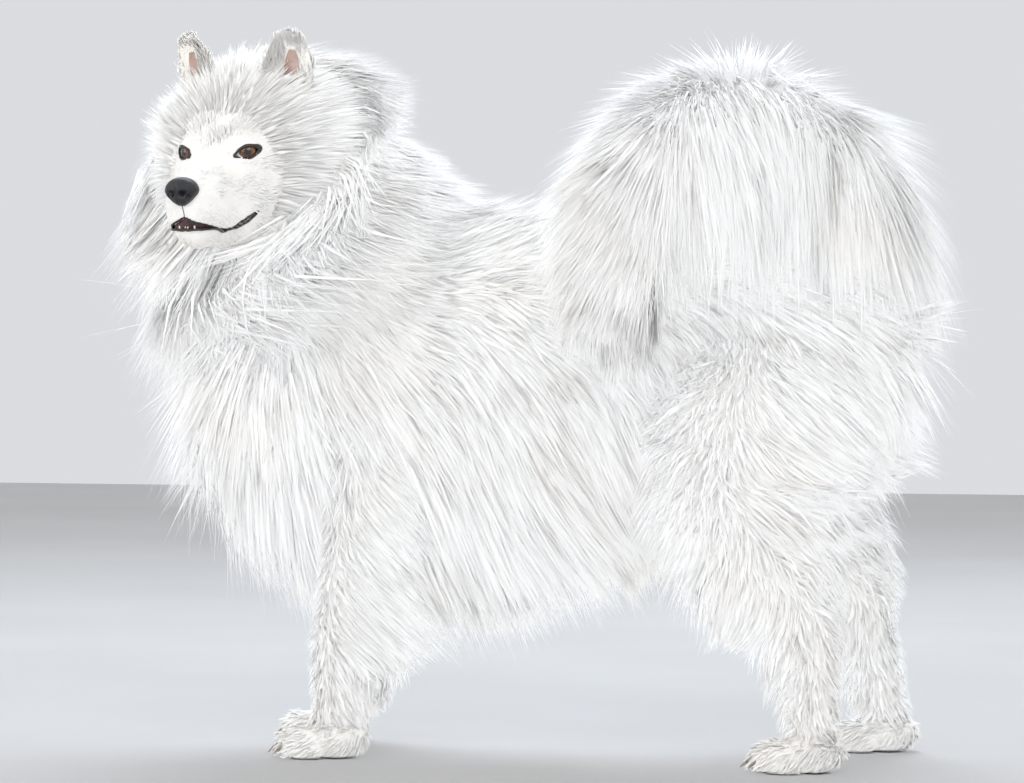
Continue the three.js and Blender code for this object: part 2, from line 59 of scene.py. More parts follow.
# Each row of a limb: [x, y, z of the axis, skin to the top, bottom and side, coat at the top, bottom and
# side, and coat beyond the end]. On a leg the top is its front and the bottom its back.
TORSO = [
    [-322, 0, 425, 20, 25, 22, 50, 60, 60, -46],
    [-296, 0, 428, 70, 75, 62, 48, 70, 55, -20],
    [-230, 0, 435, 95, 95, 86, 45, 70, 45, 0],
    [-150, 0, 440, 97, 100, 87, 42, 85, 40, 0],
    [-70, 0, 428, 112, 114, 98, 44, 102, 42, 0],
    [20, 0, 412, 133, 133, 108, 46, 112, 46, 0],
    [110, 0, 405, 145, 142, 108, 50, 122, 52, 0],
    [200, 0, 405, 150, 135, 100, 58, 128, 62, 0],
    [275, 0, 412, 120, 110, 84, 70, 132, 80, 32],
    [328, 0, 425, 75, 72, 56, 62, 118, 82, 96],
    [348, 0, 428, 25, 25, 20, 54, 94, 62, 138],
]
NECK = [
    [70, 0, 425, 100, 110, 85, 48, 110, 66, 0],
    [150, 0, 455, 85, 95, 80, 50, 110, 80, 0],
    [215, 3, 505, 80, 98, 80, 58, 132, 92, 0],
    [266, 13, 556, 72, 96, 76, 62, 166, 114, 0],
    [306, 32, 605, 66, 80, 70, 70, 174, 136, 0],
    [327, 60, 640, 60, 70, 66, 76, 150, 136, 0],
    [336, 98, 652, 50, 56, 56, 64, 122, 122, 0],
]
TAIL = [
    [-258, 0, 470, 26, 26, 26, 60, 20, 50, 0],
    [-284, 2, 522, 24, 24, 24, 88, 24, 80, 0],
    [-278, 8, 578, 21, 21, 21, 92, 34, 98, 0],
    [-244, 22, 622, 19, 19, 19, 96, 40, 112, 0],
    [-194, 48, 646, 17, 17, 17, 104, 40, 122, 0],
    [-146, 84, 642, 15, 15, 15, 102, 34, 126, 0],
    [-112, 124, 608, 13, 13, 13, 96, 28, 126, 0],
    [-94, 156, 556, 11, 11, 11, 84, 20, 122, 0],
    [-88, 170, 506, 9, 9, 9, 66, 14, 108, 0],
    [-90, 175, 470, 6, 6, 6, 48, 10, 80, 25],
    [-92, 177, 450, 2, 2, 2, 20, 6, 40, 45],
]
TAIL_MIDDLE = (-190, 40, 545)  # the point that the tail curls round
TAIL_CREST = (-192, 30, 668)  # the point that the hair of the tail falls from
FORELEG = [
    [200, 60, 430, 45, 55, 34, 20, 35, 20, 0],
    [205, 76, 345, 44, 54, 38, 20, 40, 22, 0],
    [212, 84, 280, 31, 40, 31, 18, 58, 24, 0],
    [228, 86, 190, 25, 27, 25, 15, 78, 20, 0],
    [238, 86, 112, 23, 23, 24, 13, 100, 17, 0],
    [240, 86, 62, 22, 21, 24, 12, 44, 14, 0],
    [244, 86, 30, 20, 18, 22, 10, 14, 12, 0],
]
HINDLEG = [
    [-215, 56, 440, 90, 84, 38, 22, 40, 24, 0],
    [-208, 78, 372, 92, 84, 48, 28, 64, 32, 0],
    [-196, 90, 318, 82, 74, 46, 42, 86, 36, 0],
    [-194, 94, 270, 64, 54, 38, 60, 94, 38, 0],
    [-220, 96, 215, 42, 36, 29, 74, 80, 34, 0],
    [-254, 97, 165, 29, 28, 23, 66, 40, 27, 0],
    [-267, 97, 128, 24, 23, 21, 50, 14, 19, 0],
    [-271, 98, 84, 20, 18, 20, 42, 11, 16, 0],
    [-268, 98, 44, 20, 17, 21, 24, 12, 14, 0],
    [-264, 98, 26, 18, 15, 20, 14, 12, 12, 0],
]
# How far each leg's wrist or hock, and its foot, stand from the place of its rows: (forward, outward).
STANCE = {
    "front_left": ((0, 0), (0, 0)),
    "front_right": ((40, 0), (50, 0)),
    "hind_left": ((0, 0), (-4, 2)),
    "hind_right": ((-22, 4), (-44, 34)),
}
JOINT_HEIGHT = 125

# The head's own frame has its origin between the eyes, x to the nose, y to its left and z to its crown.
HEAD_AT = (343, 170, 632)
HEAD_YAW = 79
HEAD_PITCH = 8
HEAD = [
    [-134, 0, 2, 18, 24, 22, 56, 90, 104, -40],
    [-112, 0, 0, 48, 66, 50, 50, 84, 104, -10],
    [-82, 0, -6, 66, 84, 66, 46, 66, 84, 0],
    [-50, 0, -14, 71, 82, 68, 38, 46, 62, 0],
    [-24, 0, -24, 70, 74, 64, 14, 22, 26, 0],
    [-4, 0, -34, 62, 63, 54, 2, 8, 6, 0],
    [10, 0, -42, 51, 54, 43, 2, 3, 3, 0],
    [22, 0, -48, 45, 47, 36, 2, 3, 3, 0],
    [38, 0, -50, 40, 44, 32, 2, 3, 3, 0],
    [55, 0, -50, 35, 43, 29, 2, 3, 2, 0],
    [68, 0, -46, 28, 41, 24, 1, 2, 2, 0],
    [76, 0, -43, 18, 30, 15, 1, 2, 2, 0],
]
EAR = [
    [-66, 44, 30, 15, 16, 23, 2, 3, 2, 0],
    [-64, 50, 58, 13, 14, 27, 2, 3, 2, 0],
    [-63, 55, 84, 10, 11, 26.5, 2, 3, 2, 0],
    [-63, 58, 104, 8, 8, 20, 2, 2, 2, 0],
    [-63, 59, 117, 5, 5, 12, 1, 2, 1, 0],
]
EYE = {"at": (-6, 33.5, 0), "radius": 11.4, "outward": 24, "lid": 2, "wide": 25, "high": 12.5, "slant": 12}
NOSE = {"at": (77, 0, -31), "long": 13, "wide": 18.5, "high": 15.5}
NOSTRILS = [  # on a ball of radius 1: its place, its radius, and how deep it sinks
    (0.86, 0.38, -0.12, 0.22, 6.5),
    (0.62, 0.72, -0.32, 0.17, 3.5),
]
MOUTH = [(1, -60), (12, -69), (25, -75), (42, -76), (60, -71), (71, -67)]  # x and z, corner to front
# Half the gap between the lips, from the corner, 0, to the middle of the front, 1.
LIP_GAPS = [
    (0, 0), (0.06, 1.0), (0.15, 2.3), (0.26, 1.9), (0.38, 0.4), (0.46, 0.2), (0.5, 1.5),
    (0.54, 1.3), (0.59, 0.2), (0.68, 0.6), (0.8, 3.0), (0.92, 4.4), (1, 3.2),
]
TEETH = [(3, 0.8, 1.2), (9, 1.0, 1.9), (46, 0.8, 1.1)]  # steps from the front, half width and half height
EAR_TURN = 18  # degrees that the hollow of the ear is turned outward
EAR_CUP = 0.55  # depth of the hollow, as a share of the ear's back
EAR_RIM = 3.0
# Swellings of the face, and hollows below 0: place in the head's frame, radius and height.
SWELLS = [
    (-8, 21, 18, 17, 4.0),
    (8, 0, 0, 15, -4.0),
    (-26, 46, -24, 24, 4.0),
    (54, 19, -54, 16, 3.5),
    (30, 30, -40, 14, -2.0),
    (46, 0, -16, 14, 1.5),
    (79, 0, -56, 8, -2.0),
    (-30, 0, 42, 12, -2.5),
]
# Markings and painted shade in the shared frame, in metres: place, radius, and the shade that the white is
# multiplied by.
MARKS_AND_PAINTED_SHADE = [
    # a grey patch on the right hock
    (-0.330, -0.170, 0.155, 0.045, (0.78, 0.76, 0.74)),
    # painted shade under the chin
    (0.322, 0.220, 0.545, 0.022, (0.80, 0.80, 0.82)),
]
CREAM = (0.985, 0.94, 0.86)

# The coat's tufts.
LAYERS = {  # steps along a tuft up to its tip, and the share of its width at each but the tip
    "under": ((0.0, 0.5, 1.0), (0.85, 1.0)),
    "over": ((0.0, 0.45, 1.0), (0.7, 1.0)),
    "long": ((0.0, 0.36, 0.72, 1.0), (0.62, 1.0, 0.66)),
}
BLADE = ((0.5, -0.06), (-0.5, -0.06), (0.0, 0.14))  # corners of a tuft's cut, as shares of its width
ROUNDING = 0.5  # how far the shading of a tuft's edges turns aside
TWIST = 0.4  # the most that a tuft is turned about its length, in radians
WANDER = {"share": 0.16, "over": 150}  # how far the lie wanders, and over how many millimetres
LONGER = {"share": 0.05, "by": 1.15}  # the share of tufts that stand out, and by how much
LONGEST = 125  # the furthest that a tuft reaches along the body
CLUMP = 0.34  # how far tips are drawn to the nearest guide
GUIDES = 12  # tufts to a guide
# How far tips stray, as a share of the tuft's length: with waves over so many millimetres, and each alone.
STRAY = {"share": 0.06, "wave": 1.2, "over": 40, "loose": 0.35}
FURTHEST = 1.04  # the most of its own share that a tuft's tip stands out
REACHES = (0.86, 1)  # the least and the most of its reach that a tip gets
MOST_ROWS = 3  # the most rows of a limb that a tuft runs over
MOST_TURN = 1.2  # the most that a tuft runs round a limb, in radians
FLOOR_GAP = 2  # the least height of hair over the floor
PATCH = 0.003  # size of a tuft's patch on its UV map, in its units
TOES = [(-2, 23), (9, 8), (9, -8), (-2, -23)]  # forward and sideways from the foot's middle


def smooth(low, high, x):
    t = np.clip((x - low) / (high - low), 0, 1)
    return t * t * (3 - 2 * t)


def norm(a):
    return np.linalg.norm(a, axis=-1)


def unit(a):
    return a / np.maximum(norm(a)[..., None], 1e-9)


def areas(a, b, c):
    """Twice the areas of triangles."""
    return norm(np.cross(b - a, c - a))


def dot(a, b):
    return (a * b).sum(-1, keepdims=True)


def from_frame(matrix, points):
    m = np.array(matrix)
    return points @ m[:3, :3].T + m[:3, 3]


def in_frame(matrix, points):
    """Places of the shared frame in the millimetres of another one."""
    return from_frame(matrix.inverted(), points)


class Limb:
    """A part of the body as rows along an axis, with places (u, angle, level).

    u counts rows, the angle is 0 at the top, and the level is 0 on the skin and 1 at the tips of the coat.
    """

    def __init__(self, rows, up=(0, 0, 1), middle=None, matrix=None, straight=False):
        self.rows = np.array(rows, float)
        self.up = np.array(up, float)
        self.middle = None if middle is None else np.array(middle, float)
        self.matrix = matrix
        self.straight = straight
        self.last = len(rows) - 1

    def row(self, u):
        t = np.clip(u, 0, self.last)
        i = np.minimum(np.floor(t).astype(int), self.last - 1)
        f = (t - i)[..., None]
        a, b, c, d = (self.rows[np.clip(i + k, 0, self.last)] for k in (-1, 0, 1, 2))
        slope = c - a
        bend = 2 * a - 5 * b + 4 * c - d
        twist = 3 * (b - c) + d - a
        value = b + 0.5 * f * (slope + f * (bend + f * twist))
        value[..., :3] += (u - t)[..., None] * (c - b)[..., :3]
        value[..., 3:6] = np.maximum(value[..., 3:6], 1)
        return value

    def frame(self, u):
        """The way along the limb, its side and its top at each place u."""
        if self.straight:
            ones = np.ones(np.shape(u) + (1,))
            return ones * [1.0, 0, 0], ones * [0, 1.0, 0], ones * [0, 0, 1.0]
        here = self.row(u)[..., :3]
        along = unit(self.row(u + 0.05)[..., :3] - self.row(u - 0.05)[..., :3])
        if self.middle is not None:
            top = here - self.middle
            top = unit(top - along * dot(top, along))
            return along, np.cross(top, along), top
        side = unit(np.cross(self.up, along))
        return along, side, np.cross(along, side)

    def point(self, u, angle, level):
        """Places in the limb's own frame, in millimetres."""
        r = self.row(u)
        along, side, top = self.frame(u)
        c = np.cos(angle)[..., None]
        s = np.sin(angle)[..., None]
        level = np.asarray(level)[..., None]
        high = np.where(c >= 0, r[..., 3:4] + level * r[..., 6:7], r[..., 4:5] + level * r[..., 7:8])
        wide = r[..., 5:6] + level * r[..., 8:9]
        return r[..., :3] + along * level * r[..., 9:10] + top * high * c + side * wide * s

    def world(self, points):
        """From the limb's own frame to the shared one, in metres."""
        if self.matrix is not None:
            points = from_frame(self.matrix, points)
        return (points - [CENTRE[0], CENTRE[1], 0]) * MM


def turned(x, y, z):
    """A turn about an axis, in degrees."""
    return Euler((x * RAD, y * RAD, z * RAD)).to_matrix().to_4x4()


head_matrix = Matrix.Translation(HEAD_AT) @ turned(0, 0, HEAD_YAW) @ turned(0, HEAD_PITCH, 0)
to_frame = Matrix.Scale(MM, 4) @ Matrix.Translation((-CENTRE[0], -CENTRE[1], 0))
head_to_frame = to_frame @ head_matrix
FORWARD = np.array(head_matrix.to_3x3() @ Vector((1, 0, 0)))
HEAD_TURN = np.array(head_to_frame.to_3x3().normalized()).T  # turns a way in the head's frame, as a row


def leg_rows(rows, side, joint, foot):
    """A leg's rows, mirrored for the right side, leaning to its joint and from there to its foot."""
    top = rows[0][2]
    made = []
    for x, y, z, *rest in rows:
        upper = min((top - z) / (top - JOINT_HEIGHT), 1)
        lower = max(1 - z / JOINT_HEIGHT, 0)
        forward, outward = (upper * j + lower * (f - j) for j, f in zip(joint, foot))
        made.append([x + forward, side * (y + outward), z, *rest])
    return made


torso = Limb(TORSO)
neck = Limb(NECK)
tail = Limb(TAIL, middle=TAIL_MIDDLE)
head = Limb(HEAD, straight=True, matrix=head_matrix)
ears = {
    name: Limb([[x, side * y, z, *rest] for x, y, z, *rest in EAR], up=(1, 0, 0), matrix=head_matrix)
    for name, side in SIDES
}
legs = {}
for name, (joint, foot) in STANCE.items():
    rows = FORELEG if name.startswith("front") else HINDLEG
    legs[name] = Limb(leg_rows(rows, 1 if name.endswith("left") else -1, joint, foot), up=(1, 0, 0))


# Making meshes.
def placed(name, data):
    """A new object in the scene."""
    made = bpy.data.objects.new(name, data)
    scene.collection.objects.link(made)
    return made


def smoothed(made):
    made.data.polygons.foreach_set("use_smooth", [True] * len(made.data.polygons))
    return made


def mesh_object(name, points, faces):
    mesh = bpy.data.meshes.new(name)
    mesh.from_pydata([tuple(p) for p in points], [], faces)
    mesh.validate()
    mesh.update()
    return smoothed(placed(name, mesh))


def ring_mesh(name, rings, tips):
    """A closed mesh through rings of places, with a tip beyond each end."""
    count, sides = rings.shape[:2]
    n = count * sides
    faces = []
    for r in range(count - 1):
        for i in range(sides):
            j = (i + 1) % sides
            faces.append((r * sides + i, r * sides + j, (r + 1) * sides + j, (r + 1) * sides + i))
    for i in range(sides):
        j = (i + 1) % sides
        faces.append((n, j, i))
        faces.append((n + 1, n - sides + i, n - sides + j))
    made = mesh_object(name, np.vstack([rings.reshape(-1, 3), tips]), faces)
    face_out(made)
    return made


def around(start, end, steps, sides):
    """A grid of places along a limb and angles round it."""
    along = np.linspace(start, end, steps)
    turn = np.linspace(0, TURN, sides, endpoint=False)
    return np.meshgrid(along, turn, indexing="ij")


def loft(name, limb, steps, sides, end=None, dome=4.0):
    """The skin of a limb as a closed mesh."""
    end = limb.last if end is None else end
    u, angle = around(0, end, steps + 1, sides)
    rings = limb.world(limb.point(u, angle, np.zeros(u.shape)))
    tips = []
    for place, sign in ((0, -1), (end, 1)):
        at = np.array([place], float)
        tips.append(limb.row(at)[0, :3] + limb.frame(at)[0][0] * sign * dome)
    return ring_mesh(name, rings, limb.world(np.array(tips)))


def face_out(made):
    """Turns a closed mesh's faces outward."""
    work = bmesh.new()
    work.from_mesh(made.data)
    bmesh.ops.recalc_face_normals(work, faces=work.faces)
    if work.calc_volume(signed=True) < 0:
        bmesh.ops.reverse_faces(work, faces=work.faces)
    work.to_mesh(made.data)
    work.free()


def ball(name, centre=(0, 0, 0), radii=(1, 1, 1), matrix=Matrix(), across=24, down=16):
    """An ellipsoid given in the millimetres of a frame."""
    work = bmesh.new()
    bmesh.ops.create_uvsphere(work, u_segments=across, v_segments=down, radius=1)
    place = Matrix.Translation(centre) @ Matrix.Diagonal((*radii, 1))
    bmesh.ops.transform(work, matrix=matrix @ place, verts=work.verts)
    mesh = bpy.data.meshes.new(name)
    work.to_mesh(mesh)
    work.free()
    return placed(name, mesh)


def applied(made, kind, **settings):
    """Adds a modifier to an object and applies it."""
    modifier = made.modifiers.new(kind, kind)
    for key, value in settings.items():
        setattr(modifier, key, value)
    graph = bpy.context.evaluated_depsgraph_get()
    mesh = bpy.data.meshes.new_from_object(made.evaluated_get(graph))
    made.modifiers.clear()
    made.data = mesh
    return made


def joined(name, pieces):
    work = bmesh.new()
    for piece in pieces:
        work.from_mesh(piece.data)
        bpy.data.objects.remove(piece)
    mesh = bpy.data.meshes.new(name)
    work.to_mesh(mesh)
    work.free()
    return placed(name, mesh)


def remeshed(made, voxel, turns):
    """One closed surface round all the shells of a mesh, smoothed."""
    applied(made, "REMESH", mode="VOXEL", voxel_size=voxel * MM)
    applied(made, "SMOOTH", factor=0.5, iterations=turns)
    return smoothed(made)


# The skin.
def values(made, key):
    """The places or the ways out of a mesh's vertices."""
    flat = np.empty(len(made.data.vertices) * 3)
    made.data.vertices.foreach_get(key, flat)
    return flat.reshape(-1, 3)


def move(made, points):
    made.data.vertices.foreach_set("co", points.ravel())
    made.data.update()


def tree_of(*pieces):
    points = []
    faces = []
    for piece in pieces:
        start = len(points)
        points += [v.co for v in piece.data.vertices]
        faces += [[start + i for i in p.vertices] for p in piece.data.polygons]
    return BVHTree.FromPolygons(points, faces)


def points_tree(points):
    tree = KDTree(len(points))
    for k, p in enumerate(points):
        tree.insert(Vector(p), k)
    tree.balance()
    return tree


def evened(line, turns):
    """Smooths a line of places between its ends."""
    for _ in range(turns):
        line[1:-1] = (line[:-2] + 2 * line[1:-1] + line[2:]) / 4


def keep_values(mesh, key, kept):
    """Stores a number at each vertex."""
    mesh.attributes.new(key, "FLOAT", "POINT").data.foreach_set("value", kept.astype(np.float32))


def foot_at(name):
    last = legs[name].rows[-1]
    return last[0] + (12 if name.startswith("front") else 14), last[1]


def paw_shells(name):
    """The palm, toes and pads of a foot, as balls."""
    x, y = foot_at(name)
    pieces = [ball("palm", (x - 14, y, 21), (33, 30, 22), to_frame)]
    for forward, aside in TOES:
        pieces.append(ball("toe", (x + 14 + forward, y + aside, 14.5), (25, 11.2, 16.5), to_frame))
        pieces.append(ball("pad", (x + 16 + forward, y + aside, 6), (13, 8, 6), to_frame, 16, 10))
    pieces.append(ball("pad", (x - 10, y, 7), (17, 18, 7), to_frame, 16, 10))
    return pieces


def eye_matrix(side):
    x, y, z = EYE["at"]
    place = head_to_frame @ Matrix.Translation((x, side * y, z))
    return place @ turned(0, 0, side * EYE["outward"]) @ turned(side * EYE["slant"], 0, 0)


def ear_place(ear, side, u, turn, away):
    """Places round an ear: a crescent with its hollow turned forward and a little outward."""
    row = ear.row(u)
    _, across, front = ear.frame(u)
    skew = -side * EAR_TURN * RAD
    ahead = front * math.cos(skew) + across * math.sin(skew)
    aside = across * math.cos(skew) - front * math.sin(skew)
    c = np.cos(turn)[..., None]
    s = np.sin(turn)[..., None]
    hollow = (smooth(0.1, 1.3, u) * (1 - 0.75 * smooth(2.6, 4.0, u)))[..., None]
    flat = row[..., 3:4] * (1 - hollow) * c + (EAR_RIM - EAR_CUP * row[..., 4:5] * c) * hollow
    deep = np.where(c > 0, flat, row[..., 4:5] * c + EAR_RIM * hollow)
    tip = np.sqrt(np.clip(1 - ((u - 3.1) / 0.95) ** 2 * (u > 3.1), 0.02, 1))[..., None]
    return row[..., :3] + (ahead * (deep + away) + aside * row[..., 5:6] * s) * tip


def make_ear(name, side):
    ear = ears[name]
    u, turn = around(0, ear.last, 33, 36)
    tips = np.stack([ear.rows[0][:3] - (0, 0, 4), ear.rows[-1][:3] + (0, 0, 4)])
    return ring_mesh("ear", ear.world(ear_place(ear, side, u, turn, 0)), ear.world(tips))


def make_lining(name, side):
    """The thin bare skin in the hollow of an ear, as a closed sheet just proud of it."""
    ear = ears[name]
    u = np.repeat(np.linspace(0.8, 2.7, 30)[:, None], 24, 1)
    wide = np.sin(np.linspace(0.35, 2.85, 30))[:, None] ** 0.6
    turn = np.concatenate([np.linspace(-0.3, 0.3, 12), np.linspace(0.3, -0.3, 12)])[None] * wide - 0.15 * side
    away = np.repeat(np.array([0.9] * 12 + [-0.9] * 12)[None], 30, 0)[..., None]
    shape = ear.world(ear_place(ear, side, u, turn, away))
    return ring_mesh("ear_lining_" + name, shape, shape[[0, -1]].mean(1))


def sculpt(face):
    """Raises brows, cheekbones and lip pads, and sinks the stop, the nose's groove and the sockets."""
    points = values(face, "co")
    local = in_frame(head_to_frame, points)
    away = values(face, "normal")
    for x, y, z, radius, height in SWELLS:
        for side in (1, -1) if y else (1,):
            near = np.exp(-((local - (x, side * y, z)) ** 2).sum(1) / radius**2)
            points += away * (near * height * MM)[:, None]
    half = EYE["wide"] / 2
    for side in (1, -1):
        local = in_frame(eye_matrix(side), points)
        x, y, z = local.T
        opening = EYE["high"] / 2 * (1 - (y / half) ** 2)
        inside = (x > 0) & (np.abs(y) < half) & (np.abs(z) < opening)
        eyeball = np.sqrt(np.maximum(EYE["radius"] ** 2 - y * y - z * z, 0))
        local[inside, 0] = np.maximum(eyeball - 1.8, x - 5)[inside]
        points[inside] = from_frame(eye_matrix(side), local[inside])
    move(face, points)


def mouth_line(tree):
    """Places along the mouth from its right corner round the front to the left, with their ways out."""
    t = 1 - np.abs(np.linspace(-1, 1, 121))
    side = np.sign(np.linspace(-1, 1, 121))
    steps = np.linspace(0, 1, len(MOUTH))
    x, z = (np.interp(np.clip(t / 0.84, 0, 1), steps, k) for k in np.array(MOUTH, float).T)
    swing = math.pi / 2 * (1 - smooth(0.55, 1, t))
    out = np.stack([np.cos(swing), side * np.sin(swing), 0 * t], 1)
    middle = np.stack([np.minimum(x, 52), 0 * t, z], 1)
    start = from_frame(head_to_frame, middle + out * 90)
    way = unit(from_frame(head_to_frame, middle) - start)
    hits = [tree.ray_cast(Vector(a), Vector(b)) for a, b in zip(start, way)]
    found = np.array([hit[0] for hit in hits])
    evened(found, 4)
    return found, -way, t


def part_lips(face, line, out, gap):
    """Sinks the face between the lips."""
    tree = points_tree(line)
    points = values(face, "co")
    up = unit(np.cross(np.gradient(line, axis=0), out))
    for i in np.flatnonzero(norm(points - line.mean(0)) < 0.09):
        _, k, far = tree.find(Vector(points[i]))
        if far < 0.012 and abs((points[i] - line[k]) @ up[k]) < gap[k] * MM:
            points[i] -= out[k] * 5 * MM
    move(face, points)


def ribbon(name, line, out, high, deep, sides=12):
    """A closed flattened tube along a line: `high` and `deep` are its half sizes in millimetres."""
    along = unit(np.gradient(line, axis=0))
    across = unit(np.cross(along, out))
    angle = np.linspace(0, TURN, sides, endpoint=False)[None, :, None]
    high = np.broadcast_to(high, len(line))[:, None, None] * MM
    deep = np.broadcast_to(deep, len(line))[:, None, None] * MM
    shape = line[:, None] + across[:, None] * high * np.cos(angle) + out[:, None] * deep * np.sin(angle)
    ends = np.stack([line[0] - along[0] * high[0, 0, 0], line[-1] + along[-1] * high[-1, 0, 0]])
    return ring_mesh(name, shape, ends)


def make_lids(name, side):
    """The dark edge of the lids, round the almond of the eye."""
    turn = np.linspace(-math.pi, math.pi, 64)
    half, high = EYE["wide"] / 2, EYE["high"] / 2
    y = side * (half + 1.5) * np.cos(turn)
    z = (high + 0.7) * np.sin(turn) * (1 - 0.5 * np.cos(turn) ** 2)
    local = np.stack([0 * turn + 40, y, z], 1)
    m = eye_matrix(side)
    centre = from_frame(m, np.zeros((1, 3)))
    way = unit(centre - from_frame(m, np.array([[1.0, 0, 0]])))[0]
    found = np.array([face_tree.ray_cast(Vector(p), Vector(way))[0] for p in from_frame(m, local)])
    line = in_frame(m, found)
    sphere = np.sqrt(np.maximum((EYE["radius"] + 0.9) ** 2 - y * y - z * z, 0))
    corner = smooth(0.55, 0.85, np.abs(np.cos(turn)))
    line[:, 0] = line[:, 0] * corner + np.maximum(np.minimum(line[:, 0], sphere + 1.5), sphere) * (1 - corner)
    evened(line, 3)
    line = from_frame(m, line)
    out = unit(line - centre)
    return ribbon("lids_" + name, line, out, 1.3 + 0.5 * np.maximum(np.sin(turn), 0) + 1.4 * corner, 1.3, 10)


def make_eye(name, side):
    """An eyeball with its clear bulge, and the angle from its axis kept at each vertex."""
    made = ball("eye_" + name, across=64, down=48)
    points = values(made, "co")[:, [2, 0, 1]]
    ring = np.arccos(np.clip(points[:, 0], -1, 1))
    bulge = 1 + 0.07 * np.maximum(1 - (ring / 0.85) ** 2, 0)
    move(made, from_frame(eye_matrix(side), points * (EYE["radius"] * bulge)[:, None]))
    keep_values(made.data, "ring", ring)
    return smoothed(made)


def make_nose():
    """The leather of the nose, with its nostrils and the groove between them."""
    made = ball("nose_leather", across=96, down=72)
    points = values(made, "co")
    x, y, z = points.T
    sink = 0.9 * np.exp(-((y / 0.05) ** 2)) * smooth(0.3, 0.7, x) * (1 - smooth(0.1, 0.6, z))
    for side in (1, -1):
        for a, b, c, radius, depth in NOSTRILS:
            near = ((points - (a, side * b, c)) ** 2).sum(1) / radius**2
            sink += depth * np.exp(-(near**2))
    shape = np.stack([
        NOSE["long"] * np.sign(x) * np.abs(x) ** 0.85,
        NOSE["wide"] * y * (1 - 0.3 * smooth(0.1, -1.0, z)),
        NOSE["high"] * z * np.where(z > 0, 0.92, 1),
    ], 1) - points * sink[:, None]
    move(made, from_frame(head_to_frame @ Matrix.Translation(NOSE["at"]), shape))
    return smoothed(made)


def make_claws(leg):
    """The four horn claws of a foot, each curving down from its toe."""
    pieces = []
    for i in range(1, 5):
        low, high = (np.array(c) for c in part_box(f"claw_{leg}_{i}"))
        t = np.linspace(0, 1, 12)
        half = (high[1] - low[1]) / 2
        line = np.stack([
            low[0] - 0.004 + (high[0] - low[0] + 0.004) * t,
            np.full(12, (low[1] + high[1]) / 2),
            high[2] - half + (low[2] + 0.0006 - high[2] + half) * t**2,
        ], 1)
        out = unit(np.cross(np.gradient(line, axis=0), np.tile([0.0, 1, 0], (12, 1))))
        size = half / MM * (1 - t) ** 0.6 + 0.25
        pieces.append(ribbon("claw", line, out, 0.8 * size, 1.05 * size, 12))
    return joined("claws_" + leg, pieces)


def make_skin():
    """The skin as three closed surfaces: trunk with legs and tail, feet, and face with ears."""
    body = [loft("torso", torso, 40, 40), loft("neck", neck, 28, 36), loft("tail", tail, 40, 16)]
    body += [loft("leg", legs[name], 40, 24, dome=2) for name in legs]
    body.append(loft("skull", head, 40, 40, end=4))
    trunk = remeshed(joined("trunk", body), 5, 6)
    feet = remeshed(joined("feet", [shell for name in legs for shell in paw_shells(name)]), 2.2, 4)
    ground = values(feet, "co")
    ground[:, 2] = np.maximum(ground[:, 2], 0.0002)
    move(feet, ground)
    face = [loft("face", head, 90, 72)] + [make_ear(name, side) for name, side in SIDES]
    for side in (1, -1):
        radius = EYE["radius"] + EYE["lid"]
        face.append(ball("lid", (0, 0, 0), (radius, radius, radius), eye_matrix(side), 32, 24))
    face = remeshed(joined("face", face), 1.4, 3)
    sculpt(face)
    return trunk, feet, face


# The coat.
def waves(points, scale, seed, count=5):
    """A smooth vector noise of places in metres: `scale` is its size in millimetres."""
    rng = np.random.default_rng(seed)
    total = np.zeros_like(points)
    for _ in range(count):
        way = unit(rng.normal(size=(3, 3)))
        phase = rng.uniform(0, TURN, 3)
        reach = rng.uniform(0.7, 1.4) * TURN / (scale * MM)
        total += np.sin(points @ way.T * reach + phase)
    return total / math.sqrt(count)


def spread(area, count, rng):
    """Cells picked in step with their area, so that the picks lie evenly."""
    total = np.cumsum(area.ravel())
    picks = (np.arange(count) + rng.random(count)) / count * total[-1]
    return np.minimum(np.searchsorted(total, picks), len(total) - 1)


def on_limb(limb, count, rng, span, arc):
    """Places spread evenly over a limb's coat."""
    across = np.linspace(*span, 121)
    turn = np.linspace(*arc, 97)
    u, angle = np.meshgrid(across, turn, indexing="ij")
    grid = limb.point(u, angle, np.full(u.shape, 0.5))
    area = areas(grid[:-1, :-1], grid[1:, :-1], grid[:-1, 1:])
    i, j = np.divmod(spread(area, count, rng), area.shape[1])
    return (
        across[i] + rng.random(count) * (across[1] - across[0]),
        turn[j] + rng.random(count) * (turn[1] - turn[0]),
    )


def on_mesh(made, count, rng, weight):
    """Places spread over a mesh's faces, with the ways out there."""
    mesh = made.data
    mesh.calc_loop_triangles()
    corners = np.empty(len(mesh.loop_triangles) * 3, np.int32)
    mesh.loop_triangles.foreach_get("vertices", corners)
    corners = corners.reshape(-1, 3)
    points = values(made, "co")
    tri = points[corners]
    i = spread(areas(*tri.transpose(1, 0, 2)) * weight(tri.mean(1)), count, rng)
    a, b = rng.random((2, count))
    over = a + b > 1
    a[over], b[over] = 1 - a[over], 1 - b[over]
    share = np.stack([1 - a - b, a, b], 1)[..., None]
    return (tri[i] * share).sum(1), unit((values(made, "normal")[corners[i]] * share).sum(1))


